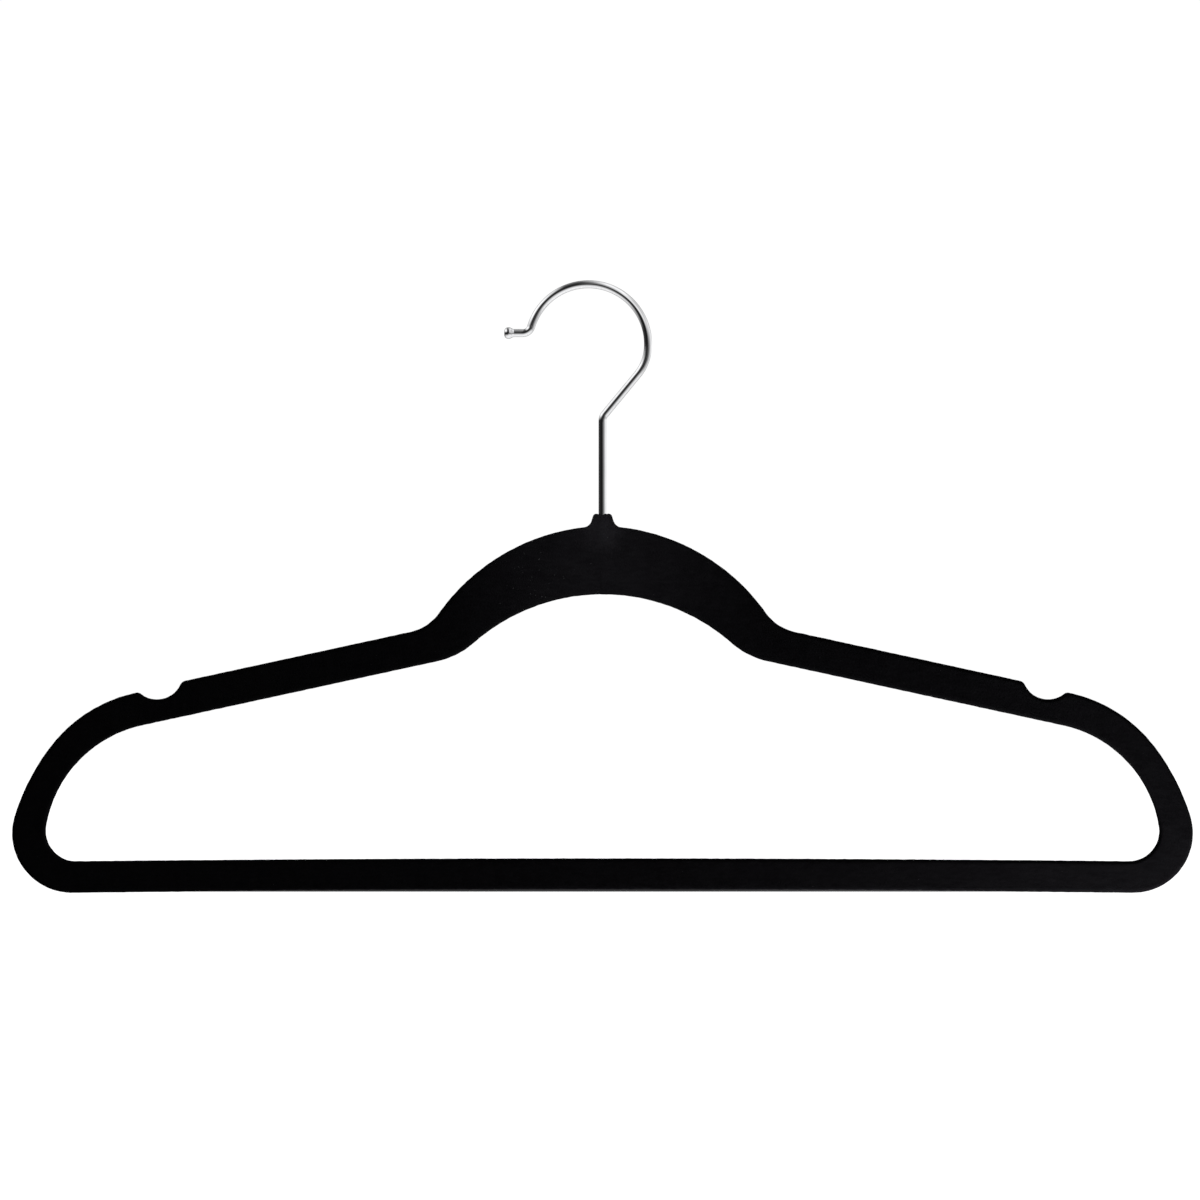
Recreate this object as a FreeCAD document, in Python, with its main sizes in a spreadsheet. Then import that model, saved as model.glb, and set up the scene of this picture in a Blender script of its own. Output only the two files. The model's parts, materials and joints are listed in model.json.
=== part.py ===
import FreeCAD, Part
import os
from math import cos, radians, sin, sqrt

import Sketcher
from FreeCAD import Placement, Rotation, Vector

# Flocked clothes hanger with a trouser bar, strap notches and a swivel wire hook.  Millimetres,
# +Z up, the front faces -Y.  Everything is drawn with x = 0 on the swivel axis and z = 0 on the
# underside of the bar; each sub-part's Placement then moves the origin to the rail seat, the
# highest point of the hook's inner side.

doc = FreeCAD.newDocument("Hanger")
os.makedirs("parts", exist_ok=True)

# ------------------------------------------------------------------------------ driving dimensions
SIZES = {
    # body outline
    "overall_width": 445.0,
    "body_depth": 5.0,
    "bar_height": 11.8,
    "opening_width": 420.0,
    "corner_radius": 11.4,
    "side_inner_radius": 46.7,
    "nose_radius": 22.4,
    "side_radius": 82.0,
    "shoulder_radius": 54.0,
    "shoulder_x": 165.0,
    # arms: slope, and distance of each edge line from the drawing origin
    "arm_angle": 12.25,
    "arm_top_reach": 111.4,
    "arm_under_reach": 98.5,
    # arch that joins the arms under the neck
    "arch_radius": 78.0,
    "arch_x": -2.0,
    "arch_z": 60.0,
    "arch_dip": 20.0,
    "arch_under_radius": 73.6,
    "arch_under_z": 38.9,
    "under_dip": 31.0,
    # strap notch
    "notch_radius": 9.8,
    "notch_x": 168.0,
    "notch_z": 82.6,
    "notch_corner": 2.6,
    "notch_peak": 2.2,
    # neck
    "neck_top": 142.6,
    "neck_radius": 3.75,
    "neck_round": 1.4,
    "neck_dip": 2.6,
    "neck_root": 119.0,
    "neck_shoulder": 130.0,
    "mouth_radius": 2.5,
    "mouth_depth": 0.6,
    # walls and coating
    "flock": 0.4,
    "side_wall": 1.6,
    "face_wall": 1.2,
    "edge_round": 1.3,
    "socket_half": 4.5,
    "rib": 1.2,
    "rib_pitch": 25.0,
    "arm_rib_start": 60.0,
    "post_radius": 1.6,
    "pin_radius": 0.8,
    "pin_height": 0.7,
    "pin_clearance": 0.05,
    # swivel hook
    "wire_radius": 1.5,
    "stem_end": 128.5,
    "stem_bend_z": 178.05,
    "stem_bend": 3.5,
    "shank_angle": 50.5,
    "loop_blend": 17.0,
    "loop_x": -5.35,
    "loop_z": 206.9,
    "loop_radius": 22.5,
    "lip_bend": 3.2,
    "lip_z": 211.0,
    "lip_end": 34.4,
    "knob_radius": 2.22,
    "knob_cone": 1.0,
    "knob_length": 2.65,
    "knob_round": 1.1,
    "flange_radius": 2.0,
    "flange_height": 1.5,
    "flange_clearance": 0.3,
    "bore_clearance": 0.08,
    "end_play": 0.15,
}
BAR_RIBS = 8
ARM_RIBS = 4

sheet = doc.addObject("Spreadsheet::Sheet", "Sizes")
for row, (alias, value) in enumerate(SIZES.items(), start=1):
    sheet.set(f"A{row}", alias)
    sheet.set(f"B{row}", str(value))
    sheet.setAlias(f"B{row}", alias)
doc.recompute()

ORIGIN = -1
X_AXIS = -1
Z_AXIS = -2


# ------------------------------------------------------------------------------------ sketch tools
def new_body(label):
    body = doc.addObject("PartDesign::Body", label)
    body.Label = label
    return body


def plane(body, role):
    return next(item for item in body.Origin.OriginFeatures if item.Role == role)


def new_sketch(body, name, role="XZ_Plane"):
    sketch = body.newObject("Sketcher::SketchObject", name)
    sketch.AttachmentSupport = (plane(body, role), [""])
    sketch.MapMode = "FlatFace"
    return sketch


def bind(sketch, constraint, name, expression):
    """Adds a dimension and drives it from the spreadsheet."""
    index = sketch.addConstraint(constraint)
    sketch.renameConstraint(index, name)
    sketch.setExpression(f"Constraints.{name}", expression)


def place_point(sketch, geometry, end, x, z, name):
    """Drives a point's coordinates.  x and z are pairs: the number now, and its expression."""
    for kind, axis, (number, expression) in (("DistanceX", Z_AXIS, x), ("DistanceY", X_AXIS, z)):
        if expression == "0":
            sketch.addConstraint(Sketcher.Constraint("PointOnObject", geometry, end, axis))
        else:
            dimension = Sketcher.Constraint(kind, ORIGIN, 1, geometry, end, number)
            bind(sketch, dimension, f"{name}_{kind[-1].lower()}", expression)


def number_of(expression):
    """The value of a sum of cells, such as "Sizes.flock + Sizes.rib / 2"."""
    total = 0.0
    for term in expression.replace("- ", "+ -").split(" + "):
        sign = -1.0 if term.startswith("-") else 1.0
        name, _, divisor = term.lstrip("-").partition(" / ")
        amount = SIZES[name[6:]] if name.startswith("Sizes.") else float(name)
        total += sign * amount / float(divisor or 1)
    return total


def polygon(sketch, corners):
    """A closed polygon whose corners are pairs of expressions, every coordinate driven."""
    points = [Vector(number_of(x), number_of(z), 0) for x, z in corners]
    lines = [
        sketch.addGeometry(Part.LineSegment(start, end), False)
        for start, end in zip(points, points[1:] + points[:1])
    ]
    for line, following in zip(lines, lines[1:] + lines[:1]):
        sketch.addConstraint(Sketcher.Constraint("Coincident", line, 2, following, 1))
    for line, point, (x, z) in zip(lines, points, corners):
        place_point(sketch, line, 1, (point.x, x), (point.y, z), f"corner{line}")


def ring(sketch, x, z, radius, name):
    """A driven circle; x, z and radius are expressions."""
    centre = Vector(number_of(x), number_of(z), 0)
    circle = sketch.addGeometry(Part.Circle(centre, Vector(0, 0, 1), number_of(radius)), False)
    place_point(sketch, circle, 3, (centre.x, x), (centre.y, z), name)
    dimension = Sketcher.Constraint("Radius", circle, number_of(radius))
    bind(sketch, dimension, f"{name}_radius", radius)


# ---------------------------------------------------------------------------------- tangent chains
# A chain is a run of curves, each tangent to the next.  Every curve has an outward side, away from
# the material.  An arc's signed radius is positive where the material is on its centre's side.  A
# line is p . normal = reach.  Moving the whole chain into the material by an inset takes the inset
# off every signed radius and every reach, and leaves the centres where they are.
class Line:
    def __init__(self, name, normal_angle, reach=None, level=None):
        self.name = name
        self.angle = normal_angle
        self.normal = Vector(cos(radians(normal_angle)), sin(radians(normal_angle)), 0)
        self.reach_cell = reach
        self.level = level
        self.reach = SIZES[reach] if reach else level
        if reach and sin(radians(normal_angle)) < 0:
            self.reach = -self.reach

    def foot(self, centre, inset):
        return centre + self.normal * (self.reach - inset - centre.dot(self.normal))


class Arc:
    def __init__(self, name, cell, sign, centre=None):
        self.name = name
        self.cell = cell
        self.sign = sign
        self.radius = sign * SIZES[cell]
        self.centre_cells = centre
        self.centre = Vector(number_of(centre[0]), number_of(centre[1]), 0) if centre else None

    def radius_text(self, inset):
        return f"Sizes.{self.cell} {'-' if self.sign > 0 else '+'} ({inset})"


def meet(first, second, radius, near):
    """Centre of the arc of this signed radius that is tangent to both neighbours."""
    if isinstance(first, Line):
        first, second = second, first
    span = abs(first.radius - radius)
    if isinstance(second, Line):
        along = Vector(-second.normal.y, second.normal.x, 0)
        base = second.normal * (second.reach - radius)
        lead = (first.centre - base).dot(along)
        side = (first.centre - base).dot(second.normal)
        half = sqrt(span**2 - side**2)
        choices = [base + along * (lead + half), base + along * (lead - half)]
    else:
        other = abs(second.radius - radius)
        gap = second.centre - first.centre
        lead = (span**2 - other**2 + gap.Length**2) / (2 * gap.Length)
        half = sqrt(span**2 - lead**2)
        unit = gap / gap.Length
        across = Vector(-unit.y, unit.x, 0)
        choices = [first.centre + unit * lead + across * (side * half) for side in (1, -1)]
    return min(choices, key=lambda centre: (centre - near).Length)


def junction(first, second, inset):
    """The point where two neighbours of a chain touch, after the inset."""
    if isinstance(first, Line):
        return first.foot(second.centre, inset)
    if isinstance(second, Line):
        return second.foot(first.centre, inset)
    normal = (second.centre - first.centre) / (first.radius - second.radius)
    return first.centre + normal * (first.radius - inset)


def at_x(curve, x, inset):
    """Where a chain's end curve crosses a vertical line, above an arc's centre."""
    if isinstance(curve, Line):
        return Vector(x, curve.normal.y * (curve.reach - inset), 0)
    return Vector(x, curve.centre.y + sqrt((curve.radius - inset) ** 2 - (x - curve.centre.x) ** 2), 0)


def upper_chain(with_neck):
    """The outside edge from the top centre round the right-hand end to the bar's underside."""
    neck_centre = ("Sizes.neck_radius - Sizes.neck_round", "Sizes.neck_top - Sizes.neck_round")
    neck = [
        Line("neck_top", 90, level=SIZES["neck_top"]),
        Arc("neck_round", "neck_round", 1, neck_centre),
        Line("neck_side", 0, level=SIZES["neck_radius"]),
        Arc("neck_dip", "neck_dip", -1),
    ]
    nose_x = "Sizes.overall_width / 2 - Sizes.nose_radius"
    rest = [
        Arc("arch", "arch_radius", 1, ("Sizes.arch_x", "Sizes.arch_z")),
        Arc("arch_dip", "arch_dip", -1),
        Line("arm_top", 90 - SIZES["arm_angle"], reach="arm_top_reach"),
        Arc("notch_corner", "notch_corner", 1),
        Arc("notch", "notch_radius", -1, ("Sizes.notch_x", "Sizes.notch_z")),
        Arc("notch_peak", "notch_peak", 1),
        Arc("shoulder", "shoulder_radius", 1, ("Sizes.shoulder_x", "Sizes.nose_radius")),
        Arc("side", "side_radius", 1),
        Arc("nose", "nose_radius", 1, (nose_x, "Sizes.nose_radius")),
        Line("bar_under", -90, level=0.0),
    ]
    chain = (neck if with_neck else []) + rest
    near = {
        "neck_dip": Vector(6, 141, 0),
        "arch_dip": Vector(70, 118, 0),
        "notch_corner": Vector(157, 77, 0),
        "notch_peak": Vector(176, 73, 0),
        "side": Vector(143, 4, 0),
    }
    return solve(chain, near)


def lower_chain():
    """The opening's edge from the bar's top round the right-hand end to the arch's underside."""
    corner_x = "Sizes.opening_width / 2 - Sizes.corner_radius"
    corner_z = "Sizes.bar_height + Sizes.corner_radius"
    chain = [
        Line("bar_top", 90, level=SIZES["bar_height"]),
        Arc("corner", "corner_radius", -1, (corner_x, corner_z)),
        Arc("side_inner", "side_inner_radius", -1),
        Line("arm_under", -90 - SIZES["arm_angle"], reach="arm_under_reach"),
        Arc("under_dip", "under_dip", 1),
        Arc("arch_under", "arch_under_radius", -1, ("0", "Sizes.arch_under_z")),
    ]
    return solve(chain, {"side_inner": Vector(164, 18, 0), "under_dip": Vector(60, 116, 0)})


def solve(chain, near):
    for before, curve, after in zip(chain, chain[1:], chain[2:]):
        if isinstance(curve, Arc) and curve.centre is None:
            curve.centre = meet(before, after, curve.radius, near[curve.name])
    return chain


def draw_chain(sketch, chain, inset, x_start, x_end):
    """Draws one chain at an inset, with its joints and its driving dimensions."""
    depth = number_of(inset)
    points = [at_x(chain[0], x_start, depth)]
    points += [junction(first, second, depth) for first, second in zip(chain, chain[1:])]
    points.append(at_x(chain[-1], x_end, depth))
    drawn = []
    for curve, start, end in zip(chain, points, points[1:]):
        if isinstance(curve, Line):
            index = sketch.addGeometry(Part.LineSegment(start, end), False)
            swapped = False
        else:
            radius = abs(curve.radius - depth)
            circle = Part.Circle(curve.centre, Vector(0, 0, 1), radius)
            first, last = circle.parameter(start), circle.parameter(end)
            turn = (start - curve.centre).cross(end - curve.centre).z
            swapped = turn < 0
            if swapped:
                first, last = last, first
            index = sketch.addGeometry(Part.ArcOfCircle(circle, first, last), False)
        drawn.append((index, (2, 1) if swapped else (1, 2)))
    for (first, (_, end)), (second, (start, _)) in zip(drawn, drawn[1:]):
        sketch.addConstraint(Sketcher.Constraint("Tangent", first, end, second, start))
    for curve, (index, ends) in zip(chain, drawn):
        dimension_curve(sketch, curve, index, inset)
    return drawn[0][0], drawn[0][1][0], drawn[-1][0], drawn[-1][1][1]


def dimension_curve(sketch, curve, index, inset):
    depth = number_of(inset)
    if isinstance(curve, Arc):
        radius = Sketcher.Constraint("Radius", index, abs(curve.radius - depth))
        bind(sketch, radius, f"{curve.name}_radius", curve.radius_text(inset))
        if curve.centre_cells:
            x, z = curve.centre_cells
            centre = curve.centre
            place_point(sketch, index, 3, (centre.x, x), (centre.y, z), f"{curve.name}_centre")
    elif curve.reach_cell:
        sign = "-" if curve.reach > 0 else "+"
        reach = Sketcher.Constraint("Distance", ORIGIN, 1, index, abs(curve.reach - depth))
        bind(sketch, reach, f"{curve.name}_reach", f"Sizes.{curve.reach_cell} {sign} ({inset})")
        line = sketch.Geometry[index]
        backwards = line.EndPoint.x < line.StartPoint.x
        degrees = (180 if backwards else 0) - SIZES["arm_angle"]
        slope = Sketcher.Constraint("Angle", index, radians(degrees))
        formula = "180 - Sizes.arm_angle" if backwards else "-Sizes.arm_angle"
        bind(sketch, slope, f"{curve.name}_slope", formula)
    else:
        kind = "Horizontal" if abs(curve.normal.y) > 0.5 else "Vertical"
        sketch.addConstraint(Sketcher.Constraint(kind, index))


def close(sketch, lower_end, upper_end, x, name):
    """Joins two chain ends with an upright line at x, an expression."""
    (first, first_end), (second, second_end) = lower_end, upper_end
    start = sketch.getPoint(first, first_end)
    stop = sketch.getPoint(second, second_end)
    line = sketch.addGeometry(Part.LineSegment(start, stop), False)
    sketch.addConstraint(Sketcher.Constraint("Coincident", first, first_end, line, 1))
    sketch.addConstraint(Sketcher.Constraint("Coincident", line, 2, second, second_end))
    sketch.addConstraint(Sketcher.Constraint("Vertical", line))
    if x == "0":
        sketch.addConstraint(Sketcher.Constraint("PointOnObject", line, 1, Z_AXIS))
    else:
        upright = Sketcher.Constraint("DistanceX", ORIGIN, 1, line, 1, number_of(x))
        bind(sketch, upright, name, x)


def half_frame(sketch, inset, neck=True, top_x="0", bar_x="0"):
    """The right-hand half of the hanger's outline, moved into the material by an inset."""
    top, bar = number_of(top_x), number_of(bar_x)
    upper = draw_chain(sketch, upper_chain(neck), inset, top, bar)
    lower = draw_chain(sketch, lower_chain(), inset, bar, top)
    close(sketch, upper[2:], lower[:2], bar_x, "bar_x")
    close(sketch, lower[2:], upper[:2], top_x, "top_x")


# --------------------------------------------------------------------------------- feature helpers
def extrude(body, sketch, name, length, towards_back, kind="Pad"):
    """A Pad or a Pocket from the middle plane, towards the back (+Y) or the front."""
    feature = body.newObject(f"PartDesign::{kind}", name)
    feature.Profile = sketch
    feature.setExpression("Length", length)
    feature.Reversed = towards_back == (kind == "Pad")
    return feature


def turn(body, sketch, name, kind, angle=360, towards_back=False):
    feature = body.newObject(f"PartDesign::{kind}", name)
    feature.Profile = sketch
    feature.ReferenceAxis = (sketch, ["V_Axis"])
    feature.Angle = angle
    feature.Reversed = not towards_back and angle < 360
    return feature


def mirror(body, name):
    doc.recompute()
    feature = body.newObject("PartDesign::Mirrored", name)
    feature.MirrorPlane = (plane(body, "YZ_Plane"), [""])
    feature.TransformMode = "Whole shape"
    body.Tip = feature
    return feature


def edges_where(shape, test):
    return [f"Edge{number}" for number, edge in enumerate(shape.Edges, start=1) if test(edge)]


def round_edges(body, name, test, radius):
    doc.recompute()
    base = body.Tip
    fillet = body.newObject("PartDesign::Fillet", name)
    fillet.Base = (base, edges_where(base.Shape, test))
    fillet.setExpression("Radius", radius)
    body.Tip = fillet
    doc.recompute()
    return fillet


def flat_at(level):
    """Picks the edges that lie wholly in the plane y = level."""
    return lambda edge: max(abs(vertex.Y - level) for vertex in edge.Vertexes) < 1e-4 and (
        edge.BoundBox.YLength < 1e-4
    )


# ------------------------------------------------------------------------------------ body pieces
FRONT, BACK = -1, 1


def neck_solid(body, inset, angle=360, side=FRONT):
    """The round boss of the neck: flush with the faces at its root, widening to the top."""
    sketch = new_sketch(body, "NeckProfile")
    polygon(sketch, [
        ("0", "Sizes.neck_root"),
        (f"Sizes.body_depth / 2 - {inset}", "Sizes.neck_root"),
        (f"Sizes.neck_radius - {inset}", "Sizes.neck_shoulder"),
        (f"Sizes.neck_radius - {inset}", f"Sizes.neck_top - {inset}"),
        ("0", f"Sizes.neck_top - {inset}"),
    ])
    turn(body, sketch, "Neck", "Revolution", angle, side == BACK)
    top = SIZES["neck_top"] - number_of(inset)

    def at_top(edge):
        return all(abs(vertex.Z - top) < 1e-4 for vertex in edge.Vertexes) and edge.BoundBox.YLength > 1

    round_edges(body, "NeckTop", at_top, "Sizes.neck_round / 2")


def mouth(body, inset, bore, floor):
    """The countersunk mouth of the neck, and a bore below it down to a floor."""
    sketch = new_sketch(body, "MouthProfile")
    top = f"Sizes.neck_top - {inset}"
    polygon(sketch, [
        ("0", floor),
        (bore, floor),
        (bore, f"{top} - Sizes.mouth_depth"),
        ("Sizes.mouth_radius", top),
        ("Sizes.mouth_radius", "Sizes.neck_top + 1"),
        ("0", "Sizes.neck_top + 1"),
    ])
    groove = turn(body, sketch, "Mouth", "Groove")
    doc.recompute()
    return groove


def envelope(label, inset):
    """The solid outside shape of the whole hanger body at an inset."""
    body = new_body(label)
    sketch = new_sketch(body, "Outline")
    half_frame(sketch, inset)
    pad = extrude(body, sketch, "Plate", f"2 * (Sizes.body_depth / 2 - {inset})", True)
    pad.SideType = "Symmetric"
    mirror(body, "BothHalves")
    level = SIZES["body_depth"] / 2 - number_of(inset)
    round_edges(body, "FrontEdges", flat_at(FRONT * level), f"Sizes.edge_round - {inset}")
    round_edges(body, "BackEdges", flat_at(BACK * level), f"Sizes.edge_round - {inset}")
    neck_solid(body, inset)
    return body


def rib_set(body, sketches, name, count, side):
    """Ribs with a post, and a pin or a pin hole, repeated along the sketches' own level axis."""
    rib, post, pin = sketches
    web_depth = "Sizes.body_depth / 2 - Sizes.flock - Sizes.face_wall / 2"
    features = [
        extrude(body, rib, f"{name}Rib", web_depth, side == BACK),
        extrude(body, post, f"{name}Post", web_depth, side == BACK),
    ]
    if side == FRONT:
        features.append(extrude(body, pin, f"{name}Pin", "Sizes.pin_height", True))
    else:
        depth = "Sizes.pin_height + 2 * Sizes.pin_clearance"
        features.append(extrude(body, pin, f"{name}PinHole", depth, True, "Pocket"))
    doc.recompute()
    pattern = body.newObject("PartDesign::LinearPattern", f"{name}Ribs")
    pattern.Originals = features
    pattern.Direction = (rib, ["H_Axis"])
    pattern.Mode = "Spacing"
    pattern.setExpression("Offset", "Sizes.rib_pitch")
    pattern.Occurrences = count
    body.Tip = pattern
    doc.recompute()


def rib_sketches(body, name, start, low, high, side, tilted):
    """The three sketches of a rib set: the rib across the walls, its post, its pin.  low and high
    are the cells of the body's edges that the ribs run between."""
    sunk = "Sizes.flock + Sizes.side_wall / 2"
    pin_radius = "Sizes.pin_radius" if side == FRONT else "Sizes.pin_radius + Sizes.pin_clearance"
    sketches = [new_sketch(body, f"{name}{part}") for part in ("RibSketch", "PostSketch", "PinSketch")]
    for sketch in sketches:
        if tilted:
            sketch.AttachmentOffset = Placement(Vector(), Rotation(Vector(0, 0, -1), SIZES["arm_angle"]))
            sketch.setExpression("AttachmentOffset.Rotation.Angle", "Sizes.arm_angle")
    left, right = f"{start} - Sizes.rib / 2", f"{start} + Sizes.rib / 2"
    bottom = f"{low} + {sunk}" if low != "0" else sunk
    top = f"{high} - Sizes.flock - Sizes.side_wall / 2"
    polygon(sketches[0], [(left, bottom), (right, bottom), (right, top), (left, top)])
    middle = f"{low} / 2 + {high} / 2"
    ring(sketches[1], start, middle, "Sizes.post_radius", "post")
    ring(sketches[2], start, middle, pin_radius, "pin")
    return sketches


def shell(label, side):
    """One moulded half: outer wall, cavity, ribs, neck and half of the hook's socket."""
    body = new_body(label)
    inset = "Sizes.flock"
    core = "Sizes.body_depth / 2 - Sizes.flock"
    outline = new_sketch(body, "Outline")
    half_frame(outline, inset)
    extrude(body, outline, "Plate", core, side == BACK)
    cavity = new_sketch(body, "CavityOutline")
    half_frame(cavity, f"{inset} + Sizes.side_wall", False, "Sizes.socket_half", "Sizes.rib / 2")
    extrude(body, cavity, "Cavity", f"{core} - Sizes.face_wall", side == BACK, "Pocket")
    doc.recompute()
    bar = rib_sketches(body, "Bar", "Sizes.rib_pitch", "0", "Sizes.bar_height", side, False)
    rib_set(body, bar, "Bar", BAR_RIBS, side)
    low, high = "Sizes.arm_under_reach", "Sizes.arm_top_reach"
    arm = rib_sketches(body, "Arm", "Sizes.arm_rib_start", low, high, side, True)
    rib_set(body, arm, "Arm", ARM_RIBS, side)
    mirror(body, "BothHalves")
    level = SIZES["body_depth"] / 2 - number_of(inset)
    round_edges(body, "FaceEdges", flat_at(side * level), f"Sizes.edge_round - {inset}")
    neck_solid(body, inset, 180, side)
    bore = "Sizes.wire_radius + Sizes.bore_clearance"
    mouth(body, inset, bore, "Sizes.stem_end + Sizes.flange_height")
    socket = new_sketch(body, "SocketProfile")
    floor, roof = "Sizes.stem_end - Sizes.end_play", "Sizes.stem_end + Sizes.flange_height + Sizes.end_play"
    wall = "Sizes.flange_radius + Sizes.flange_clearance"
    polygon(socket, [("0", floor), (wall, floor), (wall, roof), ("0", roof)])
    turn(body, socket, "Socket", "Groove")
    doc.recompute()
    return body


def seat(item):
    """Moves a sub-part so that the origin is the rail seat."""
    item.setExpression("Placement.Base.x", "-Sizes.loop_x")
    item.setExpression("Placement.Base.z", "Sizes.wire_radius - Sizes.loop_z - Sizes.loop_radius")


def hook():
    """The bent wire with its headed tip and the headed end that the socket traps."""
    body = new_body("swivel_hook")
    path = new_sketch(body, "WirePath")
    draw_path(path)
    section = new_sketch(body, "WireSection", "XY_Plane")
    section.AttachmentOffset = Placement(Vector(0, 0, SIZES["stem_end"]), Rotation())
    section.setExpression("AttachmentOffset.Base.z", "Sizes.stem_end")
    ring(section, "0", "0", "Sizes.wire_radius", "wire")
    doc.recompute()
    wire = body.newObject("PartDesign::AdditivePipe", "Wire")
    wire.Profile = section
    wire.Spine = (path, [f"Edge{number}" for number in range(1, 8)])
    doc.recompute()
    flange = new_sketch(body, "FlangeProfile")
    low, high = "Sizes.stem_end", "Sizes.stem_end + Sizes.flange_height"
    polygon(flange, [("0", low), ("Sizes.flange_radius", low), ("Sizes.flange_radius", high), ("0", high)])
    turn(body, flange, "Flange", "Revolution")
    knob = new_sketch(body, "KnobProfile")
    knob.AttachmentOffset = Placement(Vector(-SIZES["lip_end"], SIZES["lip_z"], 0), Rotation())
    knob.setExpression("AttachmentOffset.Base.x", "-Sizes.lip_end")
    knob.setExpression("AttachmentOffset.Base.y", "Sizes.lip_z")
    polygon(knob, [
        ("Sizes.knob_cone / 2", "0"),
        ("Sizes.knob_cone / 2", "Sizes.wire_radius"),
        ("-Sizes.knob_cone / 2", "Sizes.knob_radius"),
        ("-Sizes.knob_length", "Sizes.knob_radius"),
        ("-Sizes.knob_length", "0"),
    ])
    turned = turn(body, knob, "Knob", "Revolution")
    turned.ReferenceAxis = (knob, ["H_Axis"])
    doc.recompute()

    tip = -SIZES["lip_end"] - SIZES["knob_length"]

    def on_tip_rim(edge):
        return edge.BoundBox.XLength < 1e-4 and abs(edge.BoundBox.XMin - tip) < 1e-4

    round_edges(body, "KnobRound", on_tip_rim, "Sizes.knob_round")
    return body


def draw_path(sketch):
    """The wire's centre line: stem, shank, loop and lip, joined by tangent bends."""
    loop_centre = Vector(SIZES["loop_x"], SIZES["loop_z"], 0)
    angle = radians(SIZES["shank_angle"])
    along = Vector(cos(angle), sin(angle), 0)
    left = Vector(-along.y, along.x, 0)
    stem_bend = Vector(SIZES["stem_bend"], SIZES["stem_bend_z"], 0)
    shank_start = stem_bend + left * SIZES["stem_bend"]
    # the blend's centre is one blend radius to the left of the shank and inside the loop
    base = shank_start + left * SIZES["loop_blend"]
    lead = (loop_centre - base).dot(along)
    offset = (loop_centre - base).dot(left)
    inner = SIZES["loop_radius"] - SIZES["loop_blend"]
    blend = base + along * (lead + sqrt(inner**2 - offset**2))
    shank_end = blend - left * SIZES["loop_blend"]
    # the lip bend curves the other way, above the lip and outside the loop
    lip_centre_z = SIZES["lip_z"] + SIZES["lip_bend"]
    reach = SIZES["loop_radius"] + SIZES["lip_bend"]
    lip_bend = Vector(loop_centre.x - sqrt(reach**2 - (lip_centre_z - loop_centre.y) ** 2), lip_centre_z, 0)
    loop_start = loop_centre + (blend - loop_centre).normalize() * SIZES["loop_radius"]
    loop_end = loop_centre + (lip_bend - loop_centre).normalize() * SIZES["loop_radius"]
    lip_start = Vector(lip_bend.x, SIZES["lip_z"], 0)
    points = [
        Vector(0, SIZES["stem_end"], 0),
        Vector(0, SIZES["stem_bend_z"], 0),
        shank_start,
        shank_end,
        loop_start,
        loop_end,
        lip_start,
        Vector(-SIZES["lip_end"], SIZES["lip_z"], 0),
    ]
    centres = [None, stem_bend, None, blend, loop_centre, lip_bend, None]
    clockwise = [None, True, None, False, False, True, None]
    joints = []
    for start, end, centre, reverse in zip(points, points[1:], centres, clockwise):
        if centre is None:
            index = sketch.addGeometry(Part.LineSegment(start, end), False)
        else:
            circle = Part.Circle(centre, Vector(0, 0, 1), (start - centre).Length)
            first, last = circle.parameter(start), circle.parameter(end)
            if reverse:
                first, last = last, first
            index = sketch.addGeometry(Part.ArcOfCircle(circle, first, last), False)
        joints.append((index, (2, 1) if reverse else (1, 2)))
    for (first, (_, end)), (second, (start, _)) in zip(joints, joints[1:]):
        sketch.addConstraint(Sketcher.Constraint("Tangent", first, end, second, start))
    stem, bend, shank, blend_arc, loop, lip_arc, lip = range(7)
    sketch.addConstraint(Sketcher.Constraint("Vertical", stem))
    sketch.addConstraint(Sketcher.Constraint("Horizontal", lip))
    place_point(sketch, stem, 1, (0, "0"), (SIZES["stem_end"], "Sizes.stem_end"), "stem_start")
    top = Sketcher.Constraint("DistanceY", ORIGIN, 1, stem, 2, SIZES["stem_bend_z"])
    bind(sketch, top, "stem_bend_z", "Sizes.stem_bend_z")
    bind(sketch, Sketcher.Constraint("Angle", shank, angle), "shank_slope", "Sizes.shank_angle")
    x, z = (loop_centre.x, "Sizes.loop_x"), (loop_centre.y, "Sizes.loop_z")
    place_point(sketch, loop, 3, x, z, "loop_centre")
    x, z = (-SIZES["lip_end"], "-Sizes.lip_end"), (SIZES["lip_z"], "Sizes.lip_z")
    place_point(sketch, lip, 2, x, z, "lip_end")
    bends = ((bend, "stem_bend"), (blend_arc, "loop_blend"), (loop, "loop_radius"), (lip_arc, "lip_bend"))
    for arc, cell in bends:
        bind(sketch, Sketcher.Constraint("Radius", arc, SIZES[cell]), cell, f"Sizes.{cell}")


front = shell("front_shell", FRONT)
rear = shell("rear_shell", BACK)
swivel = hook()
outer = envelope("outer_form", "0")
mouth(outer, "0", "Sizes.wire_radius + Sizes.flock", "Sizes.neck_top - 2")
core = envelope("core_form", "Sizes.flock")
mouth(core, "Sizes.flock", "Sizes.wire_radius + Sizes.bore_clearance", "Sizes.neck_top - 2")
coat = doc.addObject("Part::Cut", "flock_coat")
coat.Label = "flock_coat"
coat.Base = outer
coat.Tool = core
pieces = (front, rear, coat, swivel)
for piece in pieces:
    seat(piece)
doc.recompute()

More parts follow.
